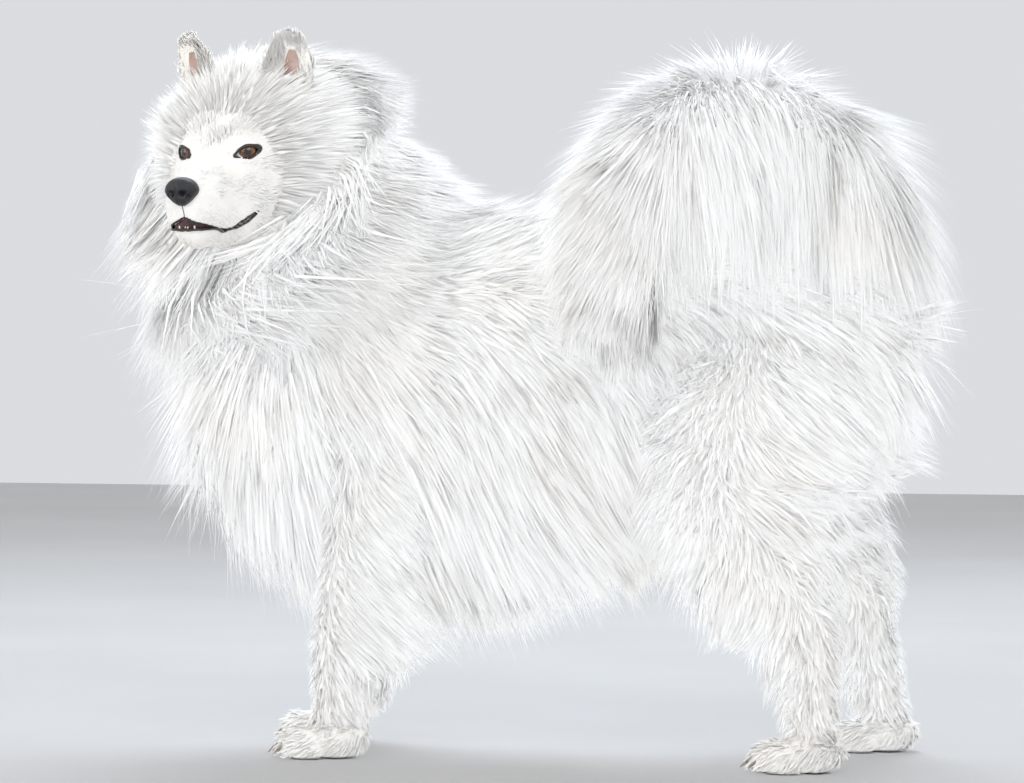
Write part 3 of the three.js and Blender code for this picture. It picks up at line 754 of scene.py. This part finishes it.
def tufts(name, limb, plan, layer, skin_tree):
    """A layer of a limb's coat: closed tufts that bend along the lie, each with its own UV patch."""
    plan = {"span": (0, limb.last), **PLAN, **plan}
    count, width, low, high = plan[layer]
    steps, shares = LAYERS[layer]
    rng = np.random.default_rng(plan["seed"] + (50 if layer == "under" else 0))
    u, angle = on_limb(limb, count, rng, plan["span"], plan["arc"])
    root = limb.point(u, angle, np.zeros(u.shape))
    tip = limb.point(u, angle, np.ones(u.shape))
    depth = norm(tip - root)
    wander = waves(limb.world(root), WANDER["over"], plan["seed"] + 7)
    way = unit(unit(plan["lie"](u, angle, root)) + WANDER["share"] * wander)
    long = rng.uniform(low, high, len(u)) * np.where(rng.random(len(u)) < LONGER["share"], LONGER["by"], 1)
    length = np.minimum(plan["length"](u, angle, root, depth) * long, LONGEST)

    # A step along the lie, as steps in u and in angle.
    step = 0.02
    level = np.full(u.shape, 0.6)
    base = limb.point(u, angle, level)
    by_u = (limb.point(u + step, angle, level) - base) / step
    by_a = (limb.point(u, angle + step, level) - base) / step
    uu, ua, aa = dot(by_u, by_u)[:, 0], dot(by_u, by_a)[:, 0], dot(by_a, by_a)[:, 0]
    lu, la = dot(way, by_u)[:, 0] * length, dot(way, by_a)[:, 0] * length
    area = uu * aa - ua * ua + 1
    along_by = np.clip((lu * aa - la * ua) / area, -MOST_ROWS, MOST_ROWS)
    turn_by = np.clip((la * uu - lu * ua) / area, -MOST_TURN, MOST_TURN)

    reach = plan["reach"] * np.clip(long, 0, FURTHEST) * rng.uniform(*REACHES, len(u))
    drop = plan["drop"](unit(tip - root), u) * length / 100
    path = []
    for t in steps:
        level = reach * t * (1 + plan["lift"] * (1 - t))
        at = limb.point(u + along_by * t, angle + turn_by * t, level)
        at[:, 2] -= drop * t * t
        path.append(limb.world(at))
    path = np.stack(path, 1)
    out = unit(np.cross(by_a, by_u))
    out = unit(limb.world(base + out) - limb.world(base)) * np.sign(dot(out, tip - root))
    keep = outside(path[:, 0], skin_tree, plan["sunk"])
    keep &= norm(path[:, -1] - path[:, 0]) < (1.1 * length + depth) * MM
    path, out, u, angle, length = path[keep], out[keep], u[keep], angle[keep], length[keep]
    clump(path, steps, CLUMP, GUIDES, rng)
    bend = (length * MM * STRAY["share"])[:, None]
    for k, t in enumerate(steps):
        wave = STRAY["wave"] * waves(path[:, 0], STRAY["over"], 5)
        path[:, k] += bend * t * (wave + STRAY["loose"] * rng.normal(size=(len(path), 3)))
    spot = np.stack([u / limb.last, (angle / TURN) % 1], 1)
    return blades(name, path, width * rng.uniform(0.6, 1.35, len(path)), shares, out, spot, rng)


def outside(points, tree, sunk):
    """Which roots aren't sunk in another part's skin by more than `sunk` millimetres."""
    keep = np.ones(len(points), bool)
    for i, p in enumerate(points):
        near, normal, _, _ = tree.find_nearest(Vector(p))
        keep[i] = (Vector(p) - near).dot(normal) > -sunk * MM
    return keep


def clear(points, tree, room):
    """Which places are at least `room` millimetres from the pieces of a tree."""
    return np.array([tree.find_nearest(Vector(p))[3] > room * MM for p in points])


def clump(path, steps, strength, guides, rng):
    """Draws each tuft to the nearest guide, more towards its tip."""
    chosen = rng.permutation(len(path))[: max(len(path) // guides, 1)]
    tree = points_tree(path[chosen, 0])
    guide = path[np.array([chosen[tree.find(Vector(p))[1]] for p in path[:, 0]])]
    pull = strength * rng.uniform(0.4, 1.1, len(path))
    for k, t in enumerate(steps):
        path[:, k] += (guide[:, k] - path[:, k]) * (pull * t**1.5)[:, None]


def blade_faces(turns):
    """The triangles of a three-sided blade, and which of them are on its flat underside."""
    faces = [(0, 1, 2)]
    for r in range(turns - 1):
        for c in range(3):
            d = (c + 1) % 3
            low, high = r * 3, r * 3 + 3
            faces.append((low + c, high + c, high + d))
            faces.append((low + c, high + d, low + d))
    top = (turns - 1) * 3
    for c in range(3):
        faces.append((top + c, turns * 3, top + (c + 1) % 3))
    faces = np.array(faces)[:, ::-1]
    level = faces // 3
    ridge = (faces % 3 == 2) & (faces < turns * 3)
    return faces, (level.max(1) > level.min(1)) & ~ridge.any(1)


def blades(name, path, width, shares, out, spot, rng):
    """Closed three-sided blades along paths, as one mesh, shaded softly as part of the coat's surface."""
    path[..., 2] = np.maximum(path[..., 2], FLOOR_GAP * MM)
    count = len(path)
    turns = len(shares)
    along = unit(path[:, 1:] - path[:, :-1])
    twist = rng.uniform(-TWIST, TWIST, count)[:, None]
    side = unit(np.cross(along[:, -1], out))
    side = unit(side + np.cross(along[:, -1], side) * twist)
    flat = unit(np.cross(side, along[:, -1]))
    points = np.empty((count, turns * 3 + 1, 3))
    shading = np.empty_like(points)
    for r in range(turns):
        size = (width * MM * shares[r])[:, None]
        for c, (a, b) in enumerate(BLADE):
            points[:, r * 3 + c] = path[:, r] + side * a * size + flat * b * size
            shading[:, r * 3 + c] = side * a * ROUNDING
    points[:, -1] = path[:, -1]
    shading[:, -1] = 0
    faces, under = blade_faces(turns)
    index = (np.arange(count)[:, None, None] * (turns * 3 + 1) + faces[None]).reshape(-1, 3)
    mesh = bpy.data.meshes.new(name)
    mesh.vertices.add(points.shape[0] * points.shape[1])
    mesh.vertices.foreach_set("co", points.astype(np.float32).ravel())
    mesh.loops.add(index.size)
    mesh.loops.foreach_set("vertex_index", index.astype(np.int32).ravel())
    mesh.polygons.add(len(index))
    mesh.polygons.foreach_set("loop_start", np.arange(0, index.size, 3, dtype=np.int32))
    mesh.polygons.foreach_set("use_smooth", np.ones(len(index), bool))
    steps = np.array([*(k for k in range(turns) for _ in range(3)), turns]) / turns
    sides = np.array([*([0, 0.5, 1] * turns), 0.5])
    local = np.stack([steps, sides], 1)[faces] * PATCH
    uv = (0.01 + 0.97 * spot[:, None, None] + local[None]).reshape(-1, 2)
    mesh.uv_layers.new(name="OFBake").data.foreach_set("uv", uv.astype(np.float32).ravel())
    keep_values(mesh, "tone", np.repeat(rng.random(count), turns * 3 + 1))
    keep_values(mesh, "share", np.tile(steps, count))
    mesh.update()
    facing = shading[:, faces] + flat[:, None, None] * np.where(under, -1, 1)[None, :, None, None]
    mesh.normals_split_custom_set(unit(facing).reshape(-1, 3))
    return placed(name, mesh)


def short_tufts(name, keep, root, away, way, length, width, rise, spot, rng):
    """Short fur on a mesh, where `keep` says so: tufts along `way` that stand out by the share `rise`."""
    rise = np.broadcast_to(rise, (len(keep), 1))
    root, away, way, length, rise, spot = (k[keep] for k in (root, away, way, length, rise, spot))
    way = unit(way - away * dot(way, away))
    way = unit(way + 0.22 * waves(root, 28, 9) + 0.12 * rng.normal(size=root.shape))
    steps, shares = LAYERS["under"]
    long = (length * MM * rng.uniform(0.7, 1.15, len(root)))[:, None]
    path = [root - away * 0.0008 + (way * t + away * (rise * t * (1.7 - t))) * long for t in steps]
    path = np.stack(path, 1)
    clump(path, steps, 0.35, 9, rng)
    return blades(name, path, width * rng.uniform(0.7, 1.3, len(root)), shares, away, spot, rng)


def ways(x, y, z, like):
    """The same way at each place of an array."""
    return np.stack([np.broadcast_to(k, like.shape[:-1]) for k in (x, y, z)], -1).astype(float)


def torso_lie(u, angle, at):
    low = (1 - np.cos(angle)) / 2
    flank = unit(ways(-1, 0, -0.25 - 1.3 * low, at))
    rump = unit(ways(-0.5, 0, -1, at))
    chest = unit(ways(-0.15, 0, -1, at))
    back = (1 - smooth(0.9, 1.8, u))[..., None]
    front = smooth(7.6, 8.8, u)[..., None]
    return flank * (1 - back) * (1 - front) + rump * back + chest * front


def neck_lie(u, angle, at):
    """Down and back over the shoulders, and behind the head away from the face all round."""
    front = np.maximum(at[..., 0] - 270, 0) / 120
    body = ways(-0.85 + np.minimum(front, 0.85), -0.12, -0.8 - front, at)
    outward = at - np.array(HEAD_AT)
    outward = unit(outward - FORWARD * dot(outward, FORWARD))
    mane = 0.9 * outward - 0.5 * FORWARD - np.array([0, 0, 0.25])
    share = smooth(2.8, 4.8, u)[..., None]
    return unit(body) * (1 - share) + unit(mane) * share


def tail_lie(u, angle, at):
    """Like a fountain from the top of the arch."""
    along = tail.frame(u)[0] * np.clip(0.55 * (u - 3.8), -0.7, 1)[..., None]
    return unit(at - np.array(TAIL_CREST)) - np.array([0, 0, 0.35]) + 0.3 * along


def head_lie(u, angle, at):
    side = np.sin(angle)
    return ways(-1, 0.45 * side, 0.25 * np.cos(angle), at)


def steady(x, y, z):
    """A lie that is the same all over a limb."""
    return lambda u, angle, at: ways(x, y, z, at)


def by_depth(share, least):
    """Lengths that grow with the depth of the coat."""
    return lambda u, angle, at, depth: share * depth + least


def tail_length(u, angle, at, depth):
    return (0.6 * depth + 45) * (1 - 0.4 * smooth(6.5, 10, u))


def tail_drop(out, u):
    """How far tips hang down, least on the crest and where the tail comes down."""
    return 150 * (1 - np.maximum(out[:, 2], 0)) * (1 - np.maximum(-tail.frame(u)[0][:, 2], 0))


# What a plan has unless it says otherwise. The arc is the angles that the layer covers, the reach is how
# far it fills the depth of the coat, the lift is how soon a tuft rises, sunk is how many millimetres a root
# may lie inside another part's skin, and the drop is how far tips hang down.
PLAN = {"arc": (-math.pi, math.pi), "reach": 1.0, "lift": 0.5, "sunk": 9, "drop": lambda out, u: 0 * u}
# Each layer: how many tufts, their width, and their shortest and longest share of the length.
PLANS = {
    "torso": (torso, {
        "under": (9000, 4.2, 0.6, 0.92), "over": (19500, 1.3, 0.7, 1.06),
        "seed": 1, "lie": torso_lie, "length": by_depth(0.85, 38), "reach": 1.07,
        "drop": lambda out, u: 30 * np.maximum(-out[:, 2], 0),
    }),
    "neck": (neck, {
        "under": (8500, 3.6, 0.6, 0.92), "over": (27000, 1.2, 0.7, 1.06),
        "seed": 2, "lie": neck_lie, "length": by_depth(0.45, 30), "span": (0.6, 5.9), "sunk": 8,
        "reach": 1.12,
    }),
    "throat": (neck, {
        "under": (1500, 4.2, 0.6, 0.92), "over": (3000, 1.3, 0.7, 1.06),
        "seed": 5, "lie": steady(0.15, 0, -1), "length": by_depth(0.4, 25),
        "span": (3.6, 6), "arc": (0.45 * math.pi, 1.55 * math.pi), "sunk": 26, "reach": 1.1,
    }),
    "tail": (tail, {
        "under": (6500, 3.8, 0.6, 0.92), "over": (19500, 1.25, 0.7, 1.06),
        "seed": 3, "lie": tail_lie, "sunk": 3, "lift": 0.35, "reach": 1.15,
        "length": tail_length, "drop": tail_drop,
    }),
    "head": (head, {
        "under": (4000, 3, 0.6, 0.9), "over": (10000, 1.1, 0.7, 1.06),
        "seed": 4, "lie": head_lie, "length": by_depth(0.55, 12), "sunk": 4, "span": (0, 4.5),
    }),
}
for name, leg in legs.items():
    front = name.startswith("front")
    PLANS["leg_" + name] = (leg, {
        "under": (1400, 3.2, 0.6, 0.9) if front else (2100, 3.6, 0.6, 0.9),
        "over": (3500, 1.2, 0.7, 1.06) if front else (5400, 1.25, 0.7, 1.06),
        "seed": 10 + len(PLANS), "lie": steady(-0.3 if front else -0.4, 0, -1), "length": by_depth(0.7, 14),
        "reach": 1.0 if front else 1.15,
    })


def face_share(at):
    """How dense the fur of the face is, thinning out under the mane."""
    return smooth(-75, -40, in_frame(head_to_frame, at)[:, 0]) + 0.25


def coat_face(face, bare, rng):
    """The short fur of the face, from the nose back to the cheeks."""
    root, away = on_mesh(face, 19000, rng, face_share)
    local = in_frame(head_to_frame, root)
    x, y, z = local.T
    on_ear = (z > 52) & (x < -38) & (np.abs(y) > 18)
    keep = clear(root, bare, 1.6) & (x > -80) & ~on_ear
    way = np.stack([-1 + 0 * x, 0.012 * y, 0.006 * z + 0.1 * (z > -20)], 1) @ HEAD_TURN
    length = np.interp(x, [-75, -45, -22, 0, 20, 50, 80], [26, 22, 15, 9, 7, 5.5, 4])
    for side in (1, -1):
        far = norm(local - (EYE["at"][0] + 8, side * EYE["at"][1], 0))
        length *= 0.45 + 0.55 * smooth(12, 30, far)
    turn = (np.arctan2(y, z + 30) / TURN) % 1
    spot = np.stack([np.clip((x + 90) / 190, 0, 1), turn], 1)
    tip = root + unit(way - away * dot(way, away)) * (length * MM)[:, None]
    keep &= clear(tip, bare, 1.2)
    width = 1.15 + 0.02 * length[keep].mean()
    return short_tufts("coat_face", keep, root, away, way, length, width, 0.22, spot, rng)


def ear_share(at):
    """Fur only on the ears."""
    x, y, z = in_frame(head_to_frame, at).T
    return ((z > 46) & (x < -36) & (np.abs(y) > 14)).astype(float)


def coat_ears(face, bare, rng):
    """The short fur of the ears, which stands up in their hollows."""
    root, away = on_mesh(face, 7000, rng, ear_share)
    local = in_frame(head_to_frame, root)
    keep = clear(root, bare, 0.9)
    side = np.sign(local[:, 1:2])
    inner = (np.abs(local[:, 1:2]) < 50) & (dot(away, FORWARD) > 0.1)
    way = np.where(inner, ways(0.1, 0.2, 1, local), ways(-0.1, 0.012, 1, local))
    way = way * np.hstack([side**2, side, side**2]) @ HEAD_TURN
    across = 0.5 * (local[:, 1] > 0) + 0.5 * ((local[:, 0] + 90) / 60 % 1)
    spot = np.stack([across, np.clip(local[:, 2] / 130, 0, 1)], 1)
    length = np.interp(local[:, 2], [40, 125], [16, 7]) * np.where(inner[:, 0], 1.2, 1)
    rise = np.where(inner, 0.5, 0.15)
    return short_tufts("coat_ears", keep, root, away, way, length, 1.2, rise, spot, rng)


def coat_paws(feet, bare):
    """The short fur of the feet, down over the toes."""
    rng = np.random.default_rng(22)
    root, away = on_mesh(feet, 7600, rng, lambda at: (at[:, 2] > 0.006).astype(float))
    spots = np.array([foot_at(name) for name in legs]) - CENTRE
    gap = root[:, None, :2] / MM - spots[None]
    which = norm(gap).argmin(1)
    own = gap[np.arange(len(root)), which]
    turn = (np.arctan2(own[:, 1], own[:, 0]) / TURN) % 1
    reach = np.clip((norm(own) + 50 - root[:, 2] / MM) / 110, 0, 1)
    keep = clear(root, bare, 1.2)
    length = 9 + 8 * rng.random(len(root)) ** 3
    way = ways(0.75, 0, -0.65, root)
    spot = np.stack([(which + turn) / 4, reach], 1)
    return short_tufts("coat_paws", keep, root, away, way, length, 1.5, 0.3, spot, rng)


def whiskers(face_tree):
    """Long single hairs on the lip pads."""
    rng = np.random.default_rng(23)
    root, way = [], []
    for side in (1, -1):
        for row in range(3):
            for k in range(4):
                at = Vector((40 + 9 * k + 3 * rng.random(), side * 60, -46 - 6 * row - 2 * rng.random()))
                inward = (head_to_frame.to_3x3() @ Vector((0, -side, 0))).normalized()
                hit = face_tree.ray_cast(head_to_frame @ at, inward)[0]
                if hit:
                    root.append(hit)
                    way.append((-0.35 + 0.4 * k / 3, side, -0.25 - 0.2 * row))
    root = np.array(root)
    way = unit(np.array(way)) @ HEAD_TURN
    long = rng.uniform(0.028, 0.046, len(root))[:, None]
    steps, shares = LAYERS["long"]
    path = np.stack([root + way * long * t - np.array([0, 0, 0.25]) * long * t * t for t in steps], 1)
    spot = rng.random((len(root), 2))
    return blades("whiskers", path, np.full(len(root), 0.55), shares, way, spot, rng)


# Materials.
def node(made, kind, inputs=None, **settings):
    """Adds a node; an input given as a socket is linked, and as a value is set."""
    new = made.node_tree.nodes.new("ShaderNode" + kind)
    for key, value in settings.items():
        setattr(new, key, value)
    for key, value in (inputs or {}).items():
        if isinstance(value, bpy.types.NodeSocket):
            made.node_tree.links.new(value, new.inputs[key])
        else:
            new.inputs[key].default_value = value
    return new


def material(name, roughness, **settings):
    """A new material; the settings are named as the shader's inputs, with _ for a space."""
    made = bpy.data.materials.new(name)
    made.use_nodes = True
    shader = made.node_tree.nodes["Principled BSDF"]
    shader.inputs["Roughness"].default_value = roughness
    for key, value in settings.items():
        shader.inputs[key.replace("_", " ")].default_value = value
    return made


def noise(made, scale, detail=3):
    """Noise of places in the shared frame, `scale` cycles a metre."""
    at = node(made, "TexCoord").outputs["Object"]
    return node(made, "TexNoise", {"Vector": at, "Scale": scale, "Detail": detail}).outputs["Fac"]


def attribute(made, name):
    """A number kept at each vertex."""
    return node(made, "Attribute", attribute_name=name).outputs["Fac"]


def ramp(made, fac, *stops):
    """A colour that goes through stops of (place, red, green, blue)."""
    new = node(made, "ValToRGB", {"Fac": fac})
    points = new.color_ramp.elements
    while len(points) < len(stops):
        points.new(1)
    for point, (place, *color) in zip(points, stops):
        point.position = place
        point.color = (*color, 1)
    return new.outputs["Color"]


def mixed(made, fac, a, b, blend="MIX"):
    inputs = {"Fac": fac, "Color1": a, "Color2": b}
    inputs = {k: (*v, 1) if isinstance(v, tuple) else v for k, v in inputs.items()}
    return node(made, "MixRGB", inputs, blend_type=blend).outputs["Color"]


def finish(made, color, bump=None, depth=0.001, strength=0.3):
    """Gives a material its colour and its bump."""
    shader = made.node_tree.nodes["Principled BSDF"]
    made.node_tree.links.new(color, shader.inputs["Base Color"])
    if bump is not None:
        lumps = node(made, "Bump", {"Height": bump, "Distance": depth, "Strength": strength})
        made.node_tree.links.new(lumps.outputs["Normal"], shader.inputs["Normal"])
    return made


def marked_and_shaded(made, color):
    """The markings and painted shade that skin and coat share: faint cream patches, grey on one hock, and
    painted shade under the chin.
    """
    at = node(made, "TexCoord").outputs["Object"]
    # the hock's grey is its own, the chin's grey is painted shade
    for x, y, z, radius, shade in MARKS_AND_PAINTED_SHADE:
        far = node(made, "VectorMath", {0: at, 1: (x, y, z)}, operation="DISTANCE").outputs["Value"]
        near = node(made, "MapRange", {"Value": far, "From Min": radius, "From Max": radius * 0.3})
        color = mixed(made, near.outputs["Result"], color, mixed(made, 1.0, color, shade, "MULTIPLY"))
    limits = {"From Min": 0.45, "From Max": 0.75, "To Max": 0.6}
    patch = node(made, "MapRange", {"Value": noise(made, 7, 1), **limits})
    return mixed(made, patch.outputs["Result"], color, mixed(made, 1.0, color, CREAM, "MULTIPLY"))


def dress(piece, surface, slot, *nodes):
    """Gives a piece its material and body, and hides the nodes that it stands for; the slot is not used."""
    piece.data.materials.clear()
    piece.data.materials.append(surface)
    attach(piece, BODY)
    if nodes:
        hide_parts(*nodes)


def hair_finish(name, white, **settings):
    """White hair, creamier at its root and a little darker there as painted shade deep in the coat, that
    differs from tuft to tuft.
    """
    made = material(name, 0.8, Specular_IOR_Level=0.0, **settings)
    # the darker root stops are painted shade among the tufts
    stops = ((0, 0.935, 0.91, 0.875), (0.4, 0.98, 0.97, 0.95), (1, 1, 0.99, 0.97))
    stops = [(place, *(white * c for c in color)) for place, *color in stops]
    base = ramp(made, attribute(made, "share"), *stops)
    darker = mixed(made, 1.0, base, (0.98, 0.967, 0.945), "MULTIPLY")
    return finish(made, marked_and_shaded(made, mixed(made, attribute(made, "tone"), base, darker)))


def grained(name, roughness, patches, low, high, grain, depth, **settings):
    """A finish of two shades in slow patches, with a fine bump: both as cycles a metre."""
    made = material(name, roughness, **settings)
    return finish(made, ramp(made, noise(made, patches), low, high), noise(made, grain), depth)


coat_finish = hair_finish(
    "coat", 0.985, Subsurface_Weight=0.45, Subsurface_Scale=0.004, Subsurface_Radius=(0.8, 0.9, 1)
)
short_finish = hair_finish("short coat", 0.90)
# The skin: the undercoat's warm grey-white, darkened as painted shade where it shows between the tufts.
skin_finish = material("undercoat_painted_shade", 0.85)
base = ramp(skin_finish, noise(skin_finish, 60), (0.3, 0.80, 0.775, 0.735), (0.7, 0.87, 0.855, 0.83))
finish(skin_finish, marked_and_shaded(skin_finish, base), noise(skin_finish, 500, 6), 0.002, 0.5)
nose_finish = material("nose leather", 0.38, Specular_IOR_Level=0.35, Coat_Weight=0.15, Coat_Roughness=0.25)
at = node(nose_finish, "TexCoord").outputs["Object"]
cells = node(nose_finish, "TexVoronoi", {"Vector": at, "Scale": 850})
base = ramp(nose_finish, noise(nose_finish, 120), (0.3, 0.010, 0.010, 0.012), (0.75, 0.032, 0.030, 0.034))
finish(nose_finish, base, cells.outputs["Distance"], 0.0006, 0.5)
lip_finish = grained(
    "lips", 0.38, 300, (0.3, 0.014, 0.011, 0.011), (0.75, 0.045, 0.034, 0.033), 900, 0.0006,
    Coat_Weight=0.2, Coat_Roughness=0.3,
)
mouth_finish = grained(
    "mouth inside", 0.35, 160, (0.35, 0.025, 0.012, 0.012), (0.75, 0.15, 0.045, 0.04), 400, 0.001
)
tooth_finish = grained("teeth", 0.3, 250, (0.3, 0.72, 0.66, 0.54), (0.7, 0.84, 0.80, 0.72), 600, 0.0003)
ear_finish = grained("ear lining", 0.6, 70, (0.3, 0.34, 0.21, 0.17), (0.7, 0.52, 0.38, 0.33), 350, 0.001)
claw_finish = grained("claw horn", 0.35, 260, (0.3, 0.16, 0.13, 0.11), (0.7, 0.38, 0.32, 0.27), 700, 0.0004)
eye_finish = material("eye", 0.12, Coat_Weight=1.0, Coat_Roughness=0.03)
ring = node(eye_finish, "Math", {0: attribute(eye_finish, "ring"), 1: 1 / math.pi}, operation="MULTIPLY")
base = ramp(
    eye_finish, ring.outputs[0], (0.095, 0.004, 0.003, 0.003), (0.115, 0.10, 0.035, 0.012),
    (0.20, 0.17, 0.062, 0.022), (0.26, 0.085, 0.03, 0.012), (0.285, 0.012, 0.008, 0.007),
    (0.34, 0.10, 0.075, 0.065),
)
flecks = node(eye_finish, "MapRange", {"Value": noise(eye_finish, 1400), "To Min": 0.5, "To Max": 1.5})
finish(eye_finish, mixed(eye_finish, 1.0, base, flecks.outputs["Result"], "MULTIPLY"))

# The camera.
camera = placed("camera", bpy.data.cameras.new("camera"))
turn = CAMERA["azimuth"] * RAD
over = [CAMERA["over"][i] - CENTRE[i] * MM for i in (0, 1)]
camera.location = (
    over[0] + math.sin(turn) * CAMERA["distance"],
    over[1] - math.cos(turn) * CAMERA["distance"],
    CAMERA["height"],
)
camera.rotation_euler = (math.pi / 2 - CAMERA["pitch"] * RAD, 0, turn)
camera.data.lens = CAMERA["lens"]
camera.data.sensor_width = 36
scene.camera = camera

# The dog.
trunk, feet, face = make_skin()
face_tree = tree_of(face)
line, out, along = mouth_line(face_tree)
gap = np.interp(along, *zip(*LIP_GAPS))
up = unit(np.cross(out, np.gradient(line, axis=0)))
wider = 2 * smooth(0.8, 1, along)
part_lips(face, line + up * (wider * MM)[:, None], out, gap + 0.3 + wider)
eyes = {name: make_eye(name, side) for name, side in SIDES}
lids = [make_lids(name, side) for name, side in SIDES]
start = from_frame(head_to_frame, np.array([(120.0, 0, z) for z in np.linspace(-44, -60, 12)]))
philtrum = np.array([face_tree.ray_cast(Vector(p), Vector(-FORWARD))[0] for p in start]) - FORWARD * 0.0003
thick = 1.1 * smooth(0, 0.06, along) + 0.15
rise = 5.0 * smooth(0.8, 1.0, along)  # the upper lip climbs to the groove under the nose
lips = joined("lips", [
    ribbon("groove", philtrum, philtrum * 0 + FORWARD, 0.5 * np.ones(12), 0.8),
    ribbon("lip", line + up * ((gap + rise) * MM)[:, None] - out * 0.0009, out, 0.7 * thick, 1.5 * thick, 12),
    ribbon("lip", line - up * ((gap + 0.5) * MM)[:, None] - out * 0.0004, out, thick, 1.6 * thick, 12),
])
inside = line + up * (rise * 0.4 * MM)[:, None] - out * 0.0045
mouth = ribbon("mouth_inside", inside, out, gap + 1.5 + rise * 0.5, 1.2)
nose = make_nose()
linings = [make_lining(name, side) for name, side in SIDES]
claws = {leg: make_claws(leg) for leg in legs}
teeth = []
for k, half, tall in TEETH:
    for i in (60 - k, 60 + k):
        place = line[i] - out[i] * 0.0032 - up[i] * (0.55 * gap[i]) * MM
        place = in_frame(to_frame, place[None])[0]
        teeth.append(ball("tooth", place, (half, half, tall), to_frame, 12, 8))
teeth = joined("teeth", teeth)
bare = tree_of(*eyes.values(), *lids, lips, mouth, nose, *linings, *claws.values())

rng = np.random.default_rng(21)
short_coat = [coat_face(face, bare, rng)]
coat = [coat_ears(face, bare, rng)]
short_coat += [coat_paws(feet, bare), whiskers(face_tree)]
skin_tree = tree_of(trunk, feet, face)
for name, (limb, plan) in PLANS.items():
    coat += [tufts(f"coat_{name}_{layer}", limb, plan, layer, skin_tree) for layer in ("under", "over")]
skin = smoothed(joined("skin", [trunk, feet, face]))

flesh = [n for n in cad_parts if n.startswith(("head", "neck", "torso", "tail", "leg", "paw", "ear"))]
dress(skin, skin_finish, "coat", *flesh)
for piece in coat:
    dress(piece, coat_finish, "coat")
for piece in short_coat:
    dress(piece, short_finish, "coat")
for name, eye in eyes.items():
    dress(eye, eye_finish, "eye", "eye_" + name)
for piece in (*lids, lips):
    dress(piece, lip_finish, "lips")
dress(mouth, mouth_finish, "lips")
dress(teeth, tooth_finish, "tooth")
dress(nose, nose_finish, "nose", "nose")
for piece in linings:
    dress(piece, ear_finish, "skin")
for leg, piece in claws.items():
    dress(piece, claw_finish, "claw", *(f"claw_{leg}_{i}" for i in range(1, 5)))

# The studio.
floor = mesh_object("floor", [(-6, -6, 0), (6, -6, 0), (6, 6, 0), (-6, 6, 0)], [(0, 1, 2, 3)])
floor_finish = material("floor", 0.8)
base = ramp(floor_finish, noise(floor_finish, 2), (0.3, 0.42, 0.415, 0.41), (0.7, 0.45, 0.445, 0.44))
finish(floor_finish, base)
floor.data.materials.append(floor_finish)


def lamp(name, at, aim, size, power, color):
    light = bpy.data.lights.new(name, "AREA")
    light.size = size
    light.energy = power
    light.color = color
    made = placed(name, light)
    made.location = at
    made.rotation_euler = (Vector(aim) - Vector(at)).to_track_quat("-Z", "Y").to_euler()


lamp("key", (-1.2, 3.4, 2.6), (0, 0, 0.4), 2.6, 48, (1.0, 0.955, 0.89))
lamp("fill", (3.0, 2.2, 1.4), (0, 0, 0.4), 2.4, 30, (1.0, 0.96, 0.91))
lamp("sky", (0.3, -1.8, 3.0), (0, 0, 0.5), 2.4, 95, (0.80, 0.89, 1.0))
world = bpy.data.worlds.new("studio")
world.use_nodes = True
sky = world.node_tree.nodes["Background"]
sky.inputs["Color"].default_value = (0.82, 0.84, 0.87, 1)
sky.inputs["Strength"].default_value = 0.86
scene.world = world
scene.view_settings.view_transform = "Standard"
cycles = scene.cycles
cycles.diffuse_bounces = 2
cycles.adaptive_threshold = 0.08
cycles.adaptive_min_samples = 10
cycles.use_fast_gi = True
cycles.ao_bounces_render = 1
world.light_settings.ao_factor = 1.35
world.light_settings.distance = 0.004
